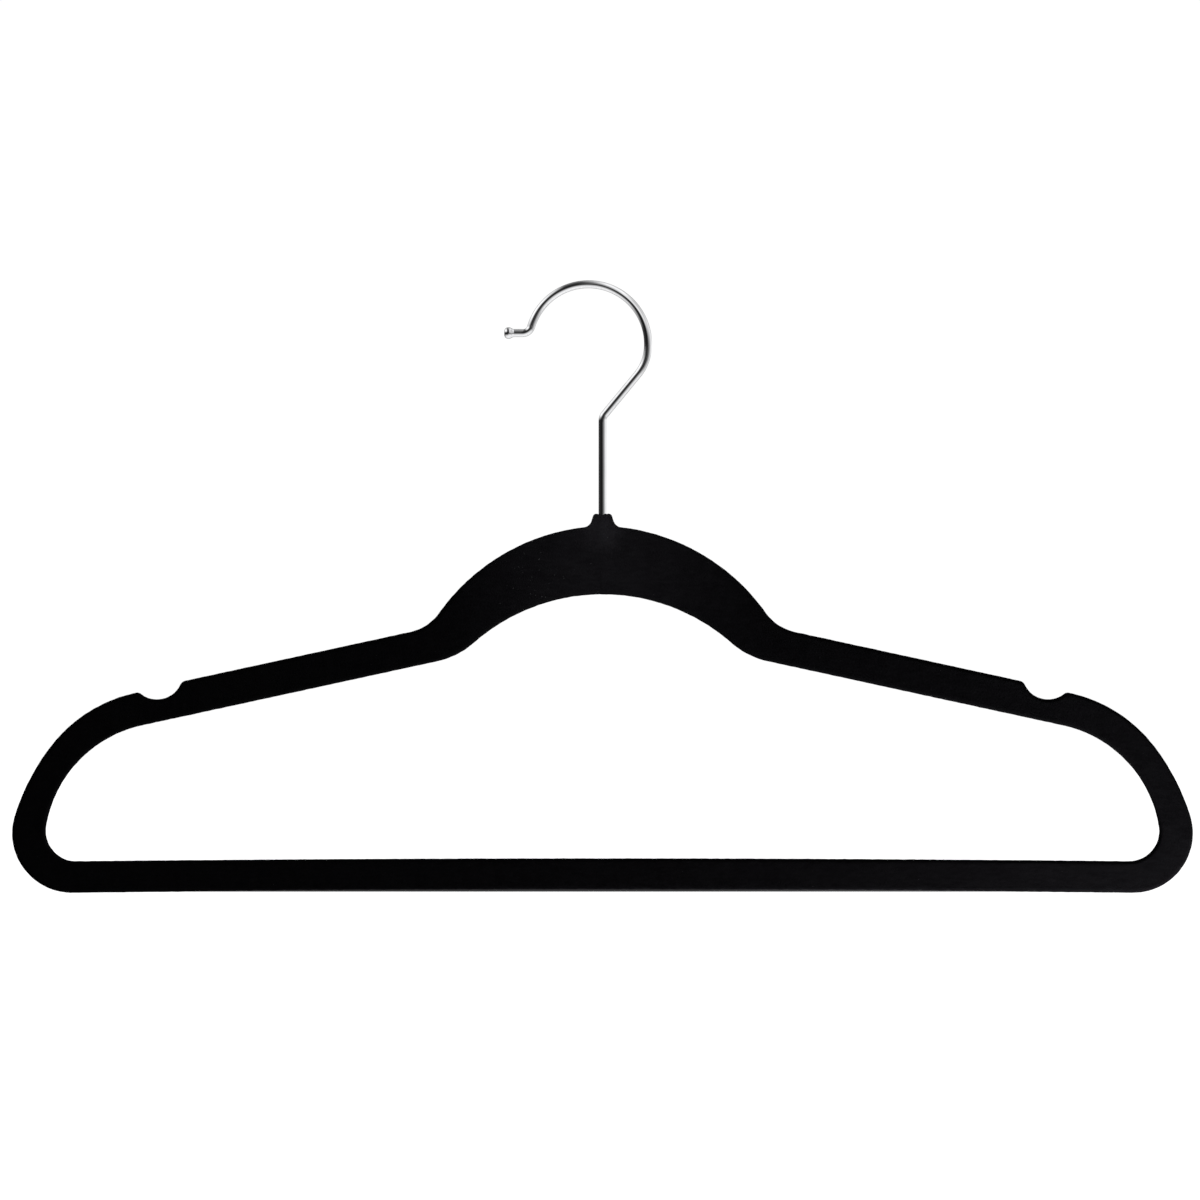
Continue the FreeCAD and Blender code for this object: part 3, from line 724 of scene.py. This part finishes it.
# ------------------------------------------------------------------------------------- the hook
@dataclass
class SwivelHook:
    """The bent wire hook: headed foot, stem, shank, loop, lip and headed tip, one closed mesh.

    Sizes are millimetres in the drawing frame.

    Attributes:
        cone_lead: how far before its middle the knob's cone starts, as a share of its half length.
        tip_rings: radii of the rings on the tip's flat face, as shares of the face's own.
        broken_edge: how far the foot's edges are broken, each in three points.
        nick: where the middle one of the three lies, as a share of that.
        row_gap: the space left between rows where one stretch of the profile meets the next.
        flattening: how much a tight bend squeezes the wire, as a share of its radius.
        tight_curl: the curvature above which a bend is tight.
        curl_gain: how fast the squeeze grows with the curvature.
        squeeze_blur: over how many samples of the centre line the squeeze fades.
    """

    wire_radius: float = 1.5
    stem_end: float = 128.5
    stem_bend_z: float = 178.05
    stem_bend: float = 3.5
    shank_deg: float = 50.5
    loop_blend: float = 17.0
    loop_centre: Pair = (-5.35, 206.9)
    loop_radius: float = 22.5
    lip_bend: float = 3.2
    lip_z: float = 211.0
    lip_end: float = 34.4
    knob_radius: float = 2.16
    knob_cone: float = 1.5
    cone_lead: float = 1.3
    knob_length: float = 2.65
    knob_round: float = 1.5
    flange_radius: float = 2.0
    flange_height: float = 1.5
    tip_rings: Triple = (0.9, 0.6, 0.3)
    broken_edge: float = 0.2
    nick: float = 0.3
    row_gap: float = 0.1
    flattening: float = 0.03
    tight_curl: float = 0.1
    curl_gain: float = 3.0
    squeeze_blur: int = 101
    rows: int = 1100
    cone_rows: int = 12
    knob_rows: int = 4
    cap_rows: int = 9
    columns: int = 56

    def runs(self) -> list[tuple[np.ndarray, np.ndarray | None, np.ndarray]]:
        """Lists the wire's straight runs and bends, each tangent to the next.

        The shank leaves the stem's bend at its slope; the blend into the loop touches the shank
        and the loop from inside; the lip's bend touches the loop from outside and the level lip.

        Returns:
            For each run its start, its centre (None when straight) and its end.
        """
        loop = np.array(self.loop_centre)
        slope = math.radians(self.shank_deg)
        along = np.array([math.cos(slope), math.sin(slope)])
        left = left_of(along)
        bend = np.array([self.stem_bend, self.stem_bend_z])
        shank_start = bend + left * self.stem_bend
        base = shank_start + left * self.loop_blend
        inner = self.loop_radius - self.loop_blend
        offset = float((loop - base) @ left)
        lead = float((loop - base) @ along) + math.sqrt(inner**2 - offset**2)
        blend = base + along * lead
        lip_z = self.lip_z + self.lip_bend
        reach = self.loop_radius + self.lip_bend
        lip = np.array([loop[0] - math.sqrt(reach**2 - (lip_z - loop[1]) ** 2), lip_z])
        joints = [
            np.array([0.0, self.stem_end]),
            np.array([0.0, self.stem_bend_z]),
            shank_start,
            blend - left * self.loop_blend,
            loop + (blend - loop) / np.linalg.norm(blend - loop) * self.loop_radius,
            loop + (lip - loop) / np.linalg.norm(lip - loop) * self.loop_radius,
            np.array([lip[0], self.lip_z]),
            np.array([-self.lip_end - self.knob_length, self.lip_z]),
        ]
        centres = [None, bend, None, blend, loop, lip, None]
        return list(zip(joints, centres, joints[1:]))

    def path(self, step: float = 0.02) -> tuple[np.ndarray, np.ndarray, np.ndarray]:
        """Walks the wire's centre line.

        A bend is centre + radius * (cos a, sin a); only the loop's and its blend's angle grows
        along the way, and the other two bends turn clockwise.

        Args:
            step: the largest distance between samples.

        Returns:
            The points, the unit directions along the wire, and the bend's curvature at each.
        """
        points, ways, curls = [], [], []
        for start, centre, end in self.runs():
            if centre is None:
                points.append(line_points(start, end, step))
                way = (end - start) / np.linalg.norm(end - start)
                ways.append(np.tile(way, (len(points[-1]), 1)))
                curls.append(np.zeros(len(points[-1])))
                continue
            spoke = start - centre
            radius = float(np.linalg.norm(spoke))
            sign = 1.0 if ways[-1][-1] @ left_of(spoke) > 0.0 else -1.0
            turn = sign * ((sign * (heading(end - centre) - heading(spoke))) % TAU)
            ray = arc_rays(heading(spoke), turn, radius, step)
            points.append(centre + radius * ray)
            ways.append(sign * left_of(ray))
            curls.append(np.full(len(ray), 1.0 / radius))
        points.append(self.runs()[-1][2][None, :])
        ways.append(ways[-1][-1:])
        curls.append(curls[-1][-1:])
        return np.concatenate(points), np.concatenate(ways), np.concatenate(curls)

    def profile(self, length: float) -> np.ndarray:
        """Lists the wire's radius along its length, foot to tip.

        The foot is a short cylinder with broken edges; the tip a cone, a cylinder and a quarter
        round, radius - r + r * cos a, that ends in a small flat face.

        Args:
            length: the length of the whole centre line.

        Returns:
            Rows of (distance along, radius).
        """
        wire, flange, knob = self.wire_radius, self.flange_radius, self.knob_radius
        soft, height, cap, gap = self.broken_edge, self.flange_height, self.knob_round, self.row_gap
        nick = soft * self.nick
        foot = [(0.0, flange - soft), (nick, flange - nick), (soft, flange), (height - soft, flange)]
        foot += [(height - nick, flange - nick), (height, flange - soft)]
        foot += [(height + 0.2 * gap, wire + 0.5 * gap), (height + gap, wire)]
        cone, half = length - self.knob_length, self.knob_cone / 2.0
        cone_start = cone - self.cone_lead * half
        rise = np.linspace(0.0, 1.0, self.cone_rows)
        cone_radius = wire + (knob - wire) * smoothstep(0.0, 1.0, rise)
        arc = np.linspace(0.0, math.pi / 2.0, self.cap_rows)
        stretches = [
            (np.linspace(height + 3.0 * gap, cone_start - 0.2 * half, self.rows), wire),
            (cone_start + (1.0 + self.cone_lead) * half * rise, cone_radius),
            (np.linspace(cone + half + gap, length - cap - gap, self.knob_rows), knob),
            (length - cap + cap * np.sin(arc), knob - cap + cap * np.cos(arc)),
            (length, (knob - cap) * np.array(self.tip_rings)),
        ]
        rows = [np.stack(np.broadcast_arrays(*stretch), axis=1) for stretch in stretches]
        return np.concatenate([foot, *rows])

    def grid(self) -> np.ndarray:
        """Carries the round section along the centre line.

        A vertex is p + r * (m * sin a, -cos a), with m the wire's side direction in its plane;
        a tight bend squeezes m and widens y a little, as bending does.

        Returns:
            Points, rows along the wire by columns round it by (x, y, z).
        """
        line, way, curl = self.path()
        at = lengths(line)
        profile = self.profile(at[-1])
        centre = resample(line, at, profile[:, 0])
        along = resample(way, at, profile[:, 0])
        along /= np.linalg.norm(along, axis=1, keepdims=True)
        kernel = np.hanning(self.squeeze_blur)
        tight = np.where(curl > self.tight_curl, np.minimum(curl * self.curl_gain, 1.0), 0.0)
        tight = np.convolve(tight, kernel / kernel.sum(), "same")
        squeeze = self.flattening * np.interp(profile[:, 0], at, tight)[:, None]
        angle = np.linspace(0.0, TAU, self.columns, endpoint=False)[None, :]
        side = profile[:, 1:] * np.sin(angle) * (1.0 - squeeze)
        y = -profile[:, 1:] * np.cos(angle) * (1.0 + 0.5 * squeeze)
        x = centre[:, :1] - along[:, 1:] * side
        z = centre[:, 1:] + along[:, :1] * side
        return outward(np.stack([x, y, z], axis=2), ring=False)

    def build(self) -> bpy.types.Object:
        """Makes the wire, with a map along and around it, in place of the plain one.

        Returns:
            The new piece.
        """
        grid = self.grid()
        piece = make_mesh("swivel_wire", grid, ring=False)
        map_wire(piece, grid)
        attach(piece, "hook")
        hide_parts("swivel_hook")
        return piece


def map_wire(piece: bpy.types.Object, grid: np.ndarray) -> None:
    """Gives a wire a map: around it (0 to 1) and along it, in metres.

    Args:
        piece: the wire's object, made of the grid.
        grid: points, rows along by columns round by (x, y, z), in millimetres.
    """
    rows, columns = grid.shape[:2]
    centre = grid.mean(axis=1)
    steps = np.linalg.norm(np.diff(centre, axis=0), axis=1)
    along = np.concatenate([[0.0], np.cumsum(steps)]) * MM
    row = np.repeat(np.arange(rows - 1), columns)
    column = np.tile(np.arange(columns), rows - 1)
    u = np.stack([column, column, column + 1, column + 1], axis=1) / columns
    v = along[np.stack([row, row + 1, row + 1, row], axis=1)]
    loops = np.zeros((len(piece.data.loops), 2), dtype=np.float32)
    loops[: u.size] = np.stack([u.ravel(), v.ravel()], axis=1)
    loops[u.size : u.size + 3 * columns, 1] = along[0]
    loops[u.size + 3 * columns :, 1] = along[-1]
    piece.data.uv_layers.new(name="around_along").data.foreach_set("uv", loops.ravel())


# ----------------------------------------------------------------------------------- the finishes
class Nodes:
    """A short hand for filling one node tree."""

    def __init__(self, tree: bpy.types.NodeTree) -> None:
        """Empties the tree.

        Args:
            tree: a material's or the world's nodes.
        """
        self.tree = tree
        tree.nodes.clear()

    def feed(self, target: Socket, value: Socket | float | tuple[float, ...]) -> None:
        """Joins an output to an input, or sets the input to a constant.

        Args:
            target: the input.
            value: the output, or the constant.
        """
        if isinstance(value, Socket):
            self.tree.links.new(value, target)
        else:
            target.default_value = value

    def add(self, kind: str, inputs: dict[str | int, object], **values: object) -> bpy.types.Node:
        """Adds a node.

        Args:
            kind: the node's type.
            inputs: what goes into each input, an output or a constant, by its name or place.
            values: the node's properties.

        Returns:
            The node.
        """
        node = self.tree.nodes.new(kind)
        for name, value in values.items():
            setattr(node, name, value)
        for name, value in inputs.items():
            self.feed(node.inputs[name], value)
        return node

    def ramp(self, value: Socket, low: float, high: float, out_low: float, out_high: float) -> Socket:
        """Takes a value from low..high to out_low..out_high, and holds it outside."""
        ends = {"From Min": low, "From Max": high, "To Min": out_low, "To Max": out_high}
        return self.add("ShaderNodeMapRange", {"Value": value, **ends}, clamp=True).outputs["Result"]

    def blend(self, share: Socket, first: Socket | Triple, second: Socket | Triple) -> Socket:
        """Mixes two colours.

        The mixer has sockets of one name for each kind of value, so the colours' go by place.

        Args:
            share: 0 for the first colour, 1 for the second.
            first: a colour, or an output that gives one.
            second: the same.

        Returns:
            The mixed colour.
        """
        colours = [(*item, 1.0) if isinstance(item, tuple) else item for item in (first, second)]
        inputs = {0: share, 6: colours[0], 7: colours[1]}
        return self.add("ShaderNodeMix", inputs, data_type="RGBA").outputs[2]

    def math(self, how: str, *terms: Socket | float) -> Socket:
        """Adds a sum, product or the like."""
        return self.add("ShaderNodeMath", dict(enumerate(terms)), operation=how).outputs[0]

    def total(self, *parts: tuple[Socket, float]) -> Socket:
        """Adds up values, each times its weight.

        Args:
            parts: the values, each with its weight.

        Returns:
            The sum.
        """
        amount: Socket | float = 0.0
        for value, weight in parts:
            amount = self.math("MULTIPLY_ADD", value, weight, amount)
        return amount


class Finish(Nodes):
    """One material's nodes, round a single surface shader."""

    def __init__(self, name: str) -> None:
        """Makes the material.

        Args:
            name: the material's name.
        """
        self.material = bpy.data.materials.new(name)
        self.material.use_nodes = True
        super().__init__(self.material.node_tree)
        self.surface = self.add("ShaderNodeBsdfPrincipled", {})
        self.add("ShaderNodeOutputMaterial", {"Surface": self.surface.outputs["BSDF"]})

    def set(self, **values: object) -> None:
        """Feeds the shader's own inputs; an underscore in a name stands for a space."""
        for name, value in values.items():
            self.feed(self.surface.inputs[name.replace("_", " ")], value)

    def place(self, stretch: Triple = (1.0, 1.0, 1.0)) -> Socket:
        """Reads the piece's own coordinates in millimetres.

        Args:
            stretch: how much finer the pattern runs along each axis.

        Returns:
            The coordinates.
        """
        source = self.add("ShaderNodeTexCoord", {}).outputs["Object"]
        scale = tuple(share / MM for share in stretch)
        return self.add("ShaderNodeMapping", {"Vector": source, "Scale": scale}).outputs["Vector"]

    def noise(self, where: Socket, scale: float, detail: float = 2.0, roughness: float = 0.5) -> Socket:
        """Adds a noise.

        Args:
            where: the coordinates, in millimetres.
            scale: cells per millimetre.
            detail: how many finer octaves.
            roughness: how strong each octave is beside the last.

        Returns:
            The noise's value, about 0.5 in the middle.
        """
        inputs = {"Vector": where, "Scale": scale, "Detail": detail, "Roughness": roughness}
        return self.add("ShaderNodeTexNoise", inputs).outputs["Fac"]

    def specks(self, where: Socket, scale: float, size: float) -> Socket:
        """Adds round specks, 1 in the middle and 0 outside.

        Args:
            where: the coordinates, in millimetres.
            scale: cells per millimetre.
            size: the speck's radius as a share of a cell.

        Returns:
            The specks' value, 0 to 1.
        """
        cells = self.add("ShaderNodeTexVoronoi", {"Vector": where, "Scale": scale})
        return self.ramp(cells.outputs["Distance"], size, size / 2.0, 0.0, 1.0)

    def distance(self, where: Socket, point: Triple) -> Socket:
        """Returns how far the surface is from a point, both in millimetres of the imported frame."""
        return self.add("ShaderNodeVectorMath", {0: where, 1: point}, operation="DISTANCE").outputs["Value"]

    def bump(self, height: Socket, millimetres: float, strength: float) -> None:
        """Puts a relief on the shader's normal.

        Args:
            height: the relief, 0 to 1.
            millimetres: the height that 1 stands for.
            strength: how much of it shows.
        """
        inputs = {"Height": height, "Distance": millimetres * MM, "Strength": strength}
        self.set(Normal=self.add("ShaderNodeBump", inputs).outputs["Normal"])


@dataclass(frozen=True)
class Flock:
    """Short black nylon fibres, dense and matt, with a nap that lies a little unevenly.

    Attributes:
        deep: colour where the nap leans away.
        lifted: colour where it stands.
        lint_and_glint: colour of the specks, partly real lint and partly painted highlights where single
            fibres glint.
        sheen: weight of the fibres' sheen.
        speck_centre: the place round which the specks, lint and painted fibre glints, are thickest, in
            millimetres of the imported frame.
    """

    deep: Triple = (0.0028, 0.0026, 0.0031)
    lifted: Triple = (0.0048, 0.0046, 0.0053)
    lint_and_glint: Triple = (0.06, 0.06, 0.063)
    sheen: float = 0.006
    speck_centre: Triple = (-22.0, 0.0, -111.0)

    def material(self) -> bpy.types.Material:
        """Makes the flock.

        Returns:
            The material.
        """
        finish = Finish("black_flock")
        where = finish.place()
        fibre = finish.noise(where, scale=3.2, detail=3.0, roughness=0.65)
        tuft = finish.noise(where, scale=1.1)
        nap = finish.noise(where, scale=0.16, detail=3.0)
        swept = finish.noise(finish.place((0.25, 1.0, 1.0)), scale=0.9)
        shade = finish.total((nap, 0.2), (swept, 0.3), (fibre, 0.5))
        colour = finish.blend(finish.ramp(shade, 0.4, 0.6, 0.0, 1.0), self.deep, self.lifted)
        # Painted highlights: bright specks in the base colour stand for glinting fibres, mixed with real
        # lint, thickest round one place on the arch.
        near = finish.ramp(finish.distance(where, self.speck_centre), 3.0, 19.0, 0.22, 0.0)
        speck_density = finish.math("ADD", finish.noise(where, scale=0.35), near)
        specks = finish.specks(where, scale=0.85, size=0.13)
        lint_and_glint = finish.math("MULTIPLY", specks, finish.ramp(speck_density, 0.62, 0.72, 0.0, 0.8))
        finish.set(Base_Color=finish.blend(lint_and_glint, colour, self.lint_and_glint), Specular_IOR_Level=0.015)
        finish.set(Roughness=finish.ramp(fibre, 0.3, 0.7, 0.88, 1.0))
        finish.set(Sheen_Weight=self.sheen, Sheen_Roughness=0.45)
        finish.bump(finish.total((fibre, 0.6), (tuft, 0.5)), millimetres=0.22, strength=0.9)
        return finish.material


@dataclass(frozen=True)
class Chrome:
    """Bright chromium plate over drawn wire, lightly worn.

    Attributes:
        bright: colour of the clean plate.
        dull: colour where it is worn or pitted.
        drawn_cells: cells of the drawing marks round the wire, and in a metre along it.
    """

    bright: Triple = (0.80, 0.80, 0.81)
    dull: Triple = (0.66, 0.665, 0.68)
    drawn_cells: Pair = (26.0, 130.0)

    def material(self) -> bpy.types.Material:
        """Makes the chrome.

        Returns:
            The material.
        """
        finish = Finish("bright_chrome")
        where = finish.place()
        cloud = finish.noise(where, scale=0.14, detail=4.0, roughness=0.6)
        worn = finish.noise(where, scale=0.9, detail=5.0, roughness=0.7)
        wire_map = finish.add("ShaderNodeUVMap", {}, uv_map="around_along").outputs["UV"]
        inputs = {"Vector": wire_map, "Scale": (*self.drawn_cells, 1.0)}
        along = finish.add("ShaderNodeMapping", inputs).outputs["Vector"]
        drawn = finish.noise(along, scale=1.0, detail=3.0, roughness=0.6)
        sparse = finish.ramp(finish.noise(where, scale=0.25), 0.52, 0.6, 0.0, 1.0)
        pits = finish.math("MULTIPLY", finish.specks(where, scale=0.85, size=0.06), sparse)
        shade = finish.math("MAXIMUM", finish.ramp(cloud, 0.35, 0.7, 0.0, 0.45), pits)
        finish.set(Base_Color=finish.blend(shade, self.bright, self.dull), Metallic=1.0)
        finish.set(Roughness=finish.total((finish.ramp(worn, 0.4, 0.75, 0.02, 0.07), 1.0), (pits, 0.35)))
        relief = finish.total((drawn, 0.5), (worn, 0.5), (pits, -1.0))
        finish.bump(relief, millimetres=0.0022, strength=0.5)
        return finish.material


@dataclass(frozen=True)
class ShellPlastic:
    """Black recycled polystyrene with a fine spark-eroded texture and faint flow marks.

    Attributes:
        deep: colour between the flow marks.
        grey: colour on them.
    """

    deep: Triple = (0.010, 0.010, 0.011)
    grey: Triple = (0.022, 0.022, 0.024)

    def material(self) -> bpy.types.Material:
        """Makes the plastic.

        Returns:
            The material.
        """
        finish = Finish("moulded_plastic")
        grain = finish.noise(finish.place(), scale=5.0)
        flow = finish.noise(finish.place((0.12, 1.0, 0.6)), scale=0.25, detail=3.0)
        colour = finish.blend(finish.ramp(flow, 0.35, 0.65, 0.0, 1.0), self.deep, self.grey)
        finish.set(Base_Color=colour, Specular_IOR_Level=0.5)
        finish.set(Roughness=finish.ramp(grain, 0.3, 0.7, 0.38, 0.6))
        finish.bump(grain, millimetres=0.05, strength=0.6)
        return finish.material


def dress(piece: bpy.types.Object, material: bpy.types.Material) -> None:
    """Puts one material on every slot of a piece.

    Args:
        piece: the piece.
        material: its material.
    """
    if not piece.data.materials:
        piece.data.materials.append(material)
    for slot in piece.material_slots:
        slot.material = material


# ----------------------------------------------------------------------------------- the studio
@dataclass(frozen=True)
class Ring:
    """One ring of the surroundings, round the line from the hanger to the camera.

    Attributes:
        opening: the ring's angle from that line, in degrees.
        shades: brightness round the ring, as (degrees from the right, counter-clockwise, value).
    """

    opening: float
    shades: tuple[Pair, ...]


SURROUNDINGS = (
    Ring(1.0, ((0, 0.05), (360, 0.05))),
    Ring(12.0, (
        (0, 0.03), (20, 0.2), (40, 0.85), (60, 0.75), (80, 0.12), (100, 0.015), (250, 0.015), (280, 0.12),
        (310, 0.25), (340, 0.03), (360, 0.03),
    )),
    Ring(28.0, (
        (0, 0.16), (18, 0.6), (30, 1.1), (48, 1.1), (62, 0.9), (78, 0.35), (92, 0.1), (100, 0.02),
        (134, 0.02), (148, 0.04), (162, 0.02), (176, 0.012), (212, 0.012), (224, 0.03), (240, 0.1),
        (262, 0.5), (290, 0.75), (312, 0.7), (326, 0.35), (338, 0.05), (348, 0.06), (360, 0.16),
    )),
    Ring(46.0, (
        (0, 0.4), (18, 0.75), (32, 0.9), (46, 0.9), (58, 1.2), (74, 0.9), (86, 0.25), (96, 0.05),
        (112, 0.04), (122, 0.1), (134, 0.2), (152, 0.3), (166, 0.1), (176, 0.015), (205, 0.02),
        (214, 0.06), (224, 0.12), (240, 0.25), (260, 0.8), (296, 0.95), (322, 0.8), (334, 0.4),
        (346, 0.25), (360, 0.4),
    )),
    Ring(66.0, (
        (0, 0.66), (18, 0.85), (32, 0.62), (46, 0.66), (58, 1.4), (74, 1.3), (86, 0.4), (96, 0.06),
        (112, 0.05), (122, 0.6), (134, 1.3), (152, 1.3), (166, 0.25), (176, 0.02), (200, 0.025),
        (212, 0.25), (224, 0.8), (250, 1.15), (296, 1.25), (322, 1.1), (334, 0.5), (346, 0.4), (360, 0.66),
    )),
    Ring(116.0, (
        (0, 1.3), (24, 1.1), (40, 0.75), (56, 0.8), (72, 1.1), (84, 0.8), (100, 0.3), (112, 0.3),
        (122, 1.1), (150, 1.4), (166, 0.8), (176, 0.05), (192, 0.08), (204, 0.5), (224, 0.9),
        (250, 1.2), (300, 1.2), (330, 0.9), (344, 1.0), (360, 1.3),
    )),
    Ring(142.0, (
        (0, 1.0), (14, 0.3), (90, 0.22), (165, 0.25), (176, 0.1), (190, 0.1), (200, 0.25), (350, 0.4),
        (360, 1.0),
    )),
    Ring(168.0, ((0, 1.0), (14, 0.35), (165, 0.35), (176, 0.2), (190, 0.2), (345, 0.35), (360, 1.0))),
    Ring(178.0, ((0, 0.9), (360, 0.9))),
)


@dataclass(frozen=True)
class Lamp:
    """A soft light that the metal doesn't mirror.

    Attributes:
        name: the lamp's name.
        place: where it hangs, in metres from what it lights.
        size: the side of a bank or the radius of a spot, in metres.
        watts: its power.
        height: what a spot lights, in millimetres above the bar's underside on the swivel axis.
        cone_deg: the full angle of a spot's cone; None makes a bank, which lights the middle.
    """

    name: str
    place: Triple
    size: float
    watts: float
    height: float = 0.0
    cone_deg: float | None = None

    def hang(self) -> None:
        """Makes the lamp and points it at what it lights."""
        if self.cone_deg is None:
            light = bpy.data.lights.new(self.name, "AREA")
            light.size = self.size
            aim = (CAD_BOX[0] + CAD_BOX[1]) / 2.0
        else:
            light = bpy.data.lights.new(self.name, "SPOT")
            light.spot_size, light.spot_blend = math.radians(self.cone_deg), 1.0
            light.shadow_soft_size = self.size
            aim = Vector(to_frame(np.array([0.0, 0.0, self.height])))
        light.energy = self.watts
        lamp = put_in_scene(self.name, light)
        lamp.location = aim + Vector(self.place)
        lamp.rotation_mode = "QUATERNION"
        lamp.rotation_quaternion = Vector(self.place).to_track_quat("Z", "Y")
        lamp.visible_glossy = False


LAMPS = (
    Lamp("bank_right", (0.275, -0.08, -0.275), size=0.12, watts=1.9),
    Lamp("bank_above", (0.2, -0.3, 1.3), size=0.8, watts=1.0),
    Lamp("arch_spot", (-0.1, -0.7, 0.35), size=0.03, watts=29.0, height=120.0, cone_deg=7.4),
    Lamp("neck_spot", (0.0, -0.7, 0.25), size=0.004, watts=30.0, height=136.5, cone_deg=1.5),
)


@dataclass
class Studio:
    """White floor and backdrop, the surroundings that the metal mirrors, and the camera.

    Attributes:
        distance: from the camera to the hanger, in metres.
        sensor: width of the camera's sensor, in millimetres.
        clip: the nearest and farthest that the camera sees, in metres.
        width_share: how much of the picture's width the hanger takes.
        aside: how far right of the picture's middle the hanger's middle lies, as a share.
        above: how far above the picture's middle it lies, as a share.
        floor_drop: how far below the hanger the floor lies, in metres.
        floor_half: half the floor's side, in metres.
        backdrop: brightness of the room as the camera sees it.
        fill: the share of the surroundings' light that matt surfaces get.
    """

    distance: float = 2.2
    sensor: float = 36.0
    clip: Pair = (0.05, 60.0)
    width_share: float = 1180.0 / 1200.0
    aside: float = 0.0021
    above: float = 0.0113
    floor_drop: float = 0.35
    floor_half: float = 14.0
    backdrop: float = 1.02
    fill: float = 0.22

    def camera(self) -> None:
        """Stands the camera straight in front of the hanger."""
        low, high = CAD_BOX
        width = (high.x - low.x) / self.width_share
        lens = bpy.data.cameras.new("front_camera")
        lens.sensor_width = self.sensor
        lens.lens = self.sensor * self.distance / width
        lens.clip_start, lens.clip_end = self.clip
        camera = put_in_scene("front_camera", lens)
        middle = (low + high) / 2.0
        aim = Vector((middle.x - self.aside * width, 0.0, middle.z - self.above * width))
        camera.location = aim - Vector((0.0, self.distance, 0.0))
        camera.rotation_euler = (math.pi / 2.0, 0.0, 0.0)
        bpy.context.scene.camera = camera

    def floor(self) -> None:
        """Lays a wide pale floor well below the hanger, which neither lights it nor is mirrored."""
        level, half = CAD_BOX[0].z - self.floor_drop, self.floor_half
        mesh = bpy.data.meshes.new("floor")
        corners = [(-half, -half, level), (half, -half, level), (half, half, level), (-half, half, level)]
        mesh.from_pydata(corners, [], [(0, 1, 2, 3)])
        floor = put_in_scene("floor", mesh)
        finish = Finish("pale_floor")
        finish.set(Base_Color=(0.9, 0.9, 0.9, 1.0), Roughness=0.9, Specular_IOR_Level=0.1)
        finish.set(Emission_Color=(1.0, 1.0, 1.0, 1.0), Emission_Strength=1.0)
        dress(floor, finish.material)
        floor.visible_glossy = floor.visible_diffuse = False

    @staticmethod
    def ring_shade(nodes: Nodes, turn: Socket, ring: Ring) -> Socket:
        """Returns one ring's brightness at an angle round it.

        Args:
            nodes: the world's nodes.
            turn: the angle, as a share of a full turn.
            ring: the ring.

        Returns:
            The brightness, as a grey.
        """
        ramp = nodes.add("ShaderNodeValToRGB", {"Fac": turn})
        stops = ramp.color_ramp.elements
        for degrees, _ in ring.shades[1:-1]:
            stops.new(degrees / 360.0)
        for stop, (_, value) in zip(stops, ring.shades):
            stop.color = (value, value, value, 1.0)
        return ramp.outputs["Color"]

    def surroundings(self) -> None:
        """Lights the room: white to the eye, and ringed with light banks in the metal's gloss.

        A direction d lies on the ring whose opening is acos(-d.y), at the angle atan2(d.z, d.x)
        round it; between two rings their shades blend in proportion.
        """
        world = bpy.data.worlds.new("studio_room")
        bpy.context.scene.world = world
        world.use_nodes = True
        nodes = Nodes(world.node_tree)
        way = nodes.add("ShaderNodeTexCoord", {}).outputs["Generated"]
        parts = nodes.add("ShaderNodeSeparateXYZ", {0: way}).outputs
        turn = nodes.math("ARCTAN2", parts["Z"], parts["X"])
        turn = nodes.math("FRACT", nodes.math("MULTIPLY_ADD", turn, 1.0 / TAU, 1.0))
        opening = nodes.math("ARCCOSINE", nodes.math("MULTIPLY", parts["Y"], -1.0))
        shade = self.ring_shade(nodes, turn, SURROUNDINGS[0])
        for inner, outer in zip(SURROUNDINGS, SURROUNDINGS[1:]):
            low, high = math.radians(inner.opening), math.radians(outer.opening)
            share = nodes.ramp(opening, low, high, 0.0, 1.0)
            shade = nodes.blend(share, shade, self.ring_shade(nodes, turn, outer))
        path = nodes.add("ShaderNodeLightPath", {}).outputs
        level = nodes.ramp(path["Is Diffuse Ray"], 0.0, 1.0, 1.0, self.fill)
        room = nodes.add("ShaderNodeBackground", {"Color": shade, "Strength": level})
        white = (1.0, 1.0, 1.0, 1.0)
        seen = nodes.add("ShaderNodeBackground", {"Color": white, "Strength": self.backdrop})
        inputs = {0: path["Is Camera Ray"], 1: room.outputs[0], 2: seen.outputs[0]}
        surface = nodes.add("ShaderNodeMixShader", inputs).outputs[0]
        nodes.add("ShaderNodeOutputWorld", {"Surface": surface})

    def build(self) -> None:
        """Sets the camera, the floor, the surroundings, the lamps and the plain tone curve."""
        self.camera()
        self.floor()
        self.surroundings()
        for lamp in LAMPS:
            lamp.hang()
        settings = bpy.context.scene.view_settings
        settings.view_transform = "Standard"
        settings.look = "None"


def main() -> None:
    """Builds the hanger, the hook and the studio, and reports the hanger's and the hook's pieces."""
    logging.basicConfig(level=logging.INFO, format="%(name)s: %(message)s")
    plastic = ShellPlastic().material()
    for node in ("front_shell", "rear_shell"):
        dress(frame["nodes"][node], plastic)
        LOG.info("dressed %s", node)
    body = FlockedBody().build()
    dress(body, Flock().material())
    LOG.info("%s: %d faces", body.name, len(body.data.polygons))
    hook = SwivelHook().build()
    dress(hook, Chrome().material())
    LOG.info("%s: %d faces", hook.name, len(hook.data.polygons))
    Studio().build()


if __name__ == "__main__":
    main()
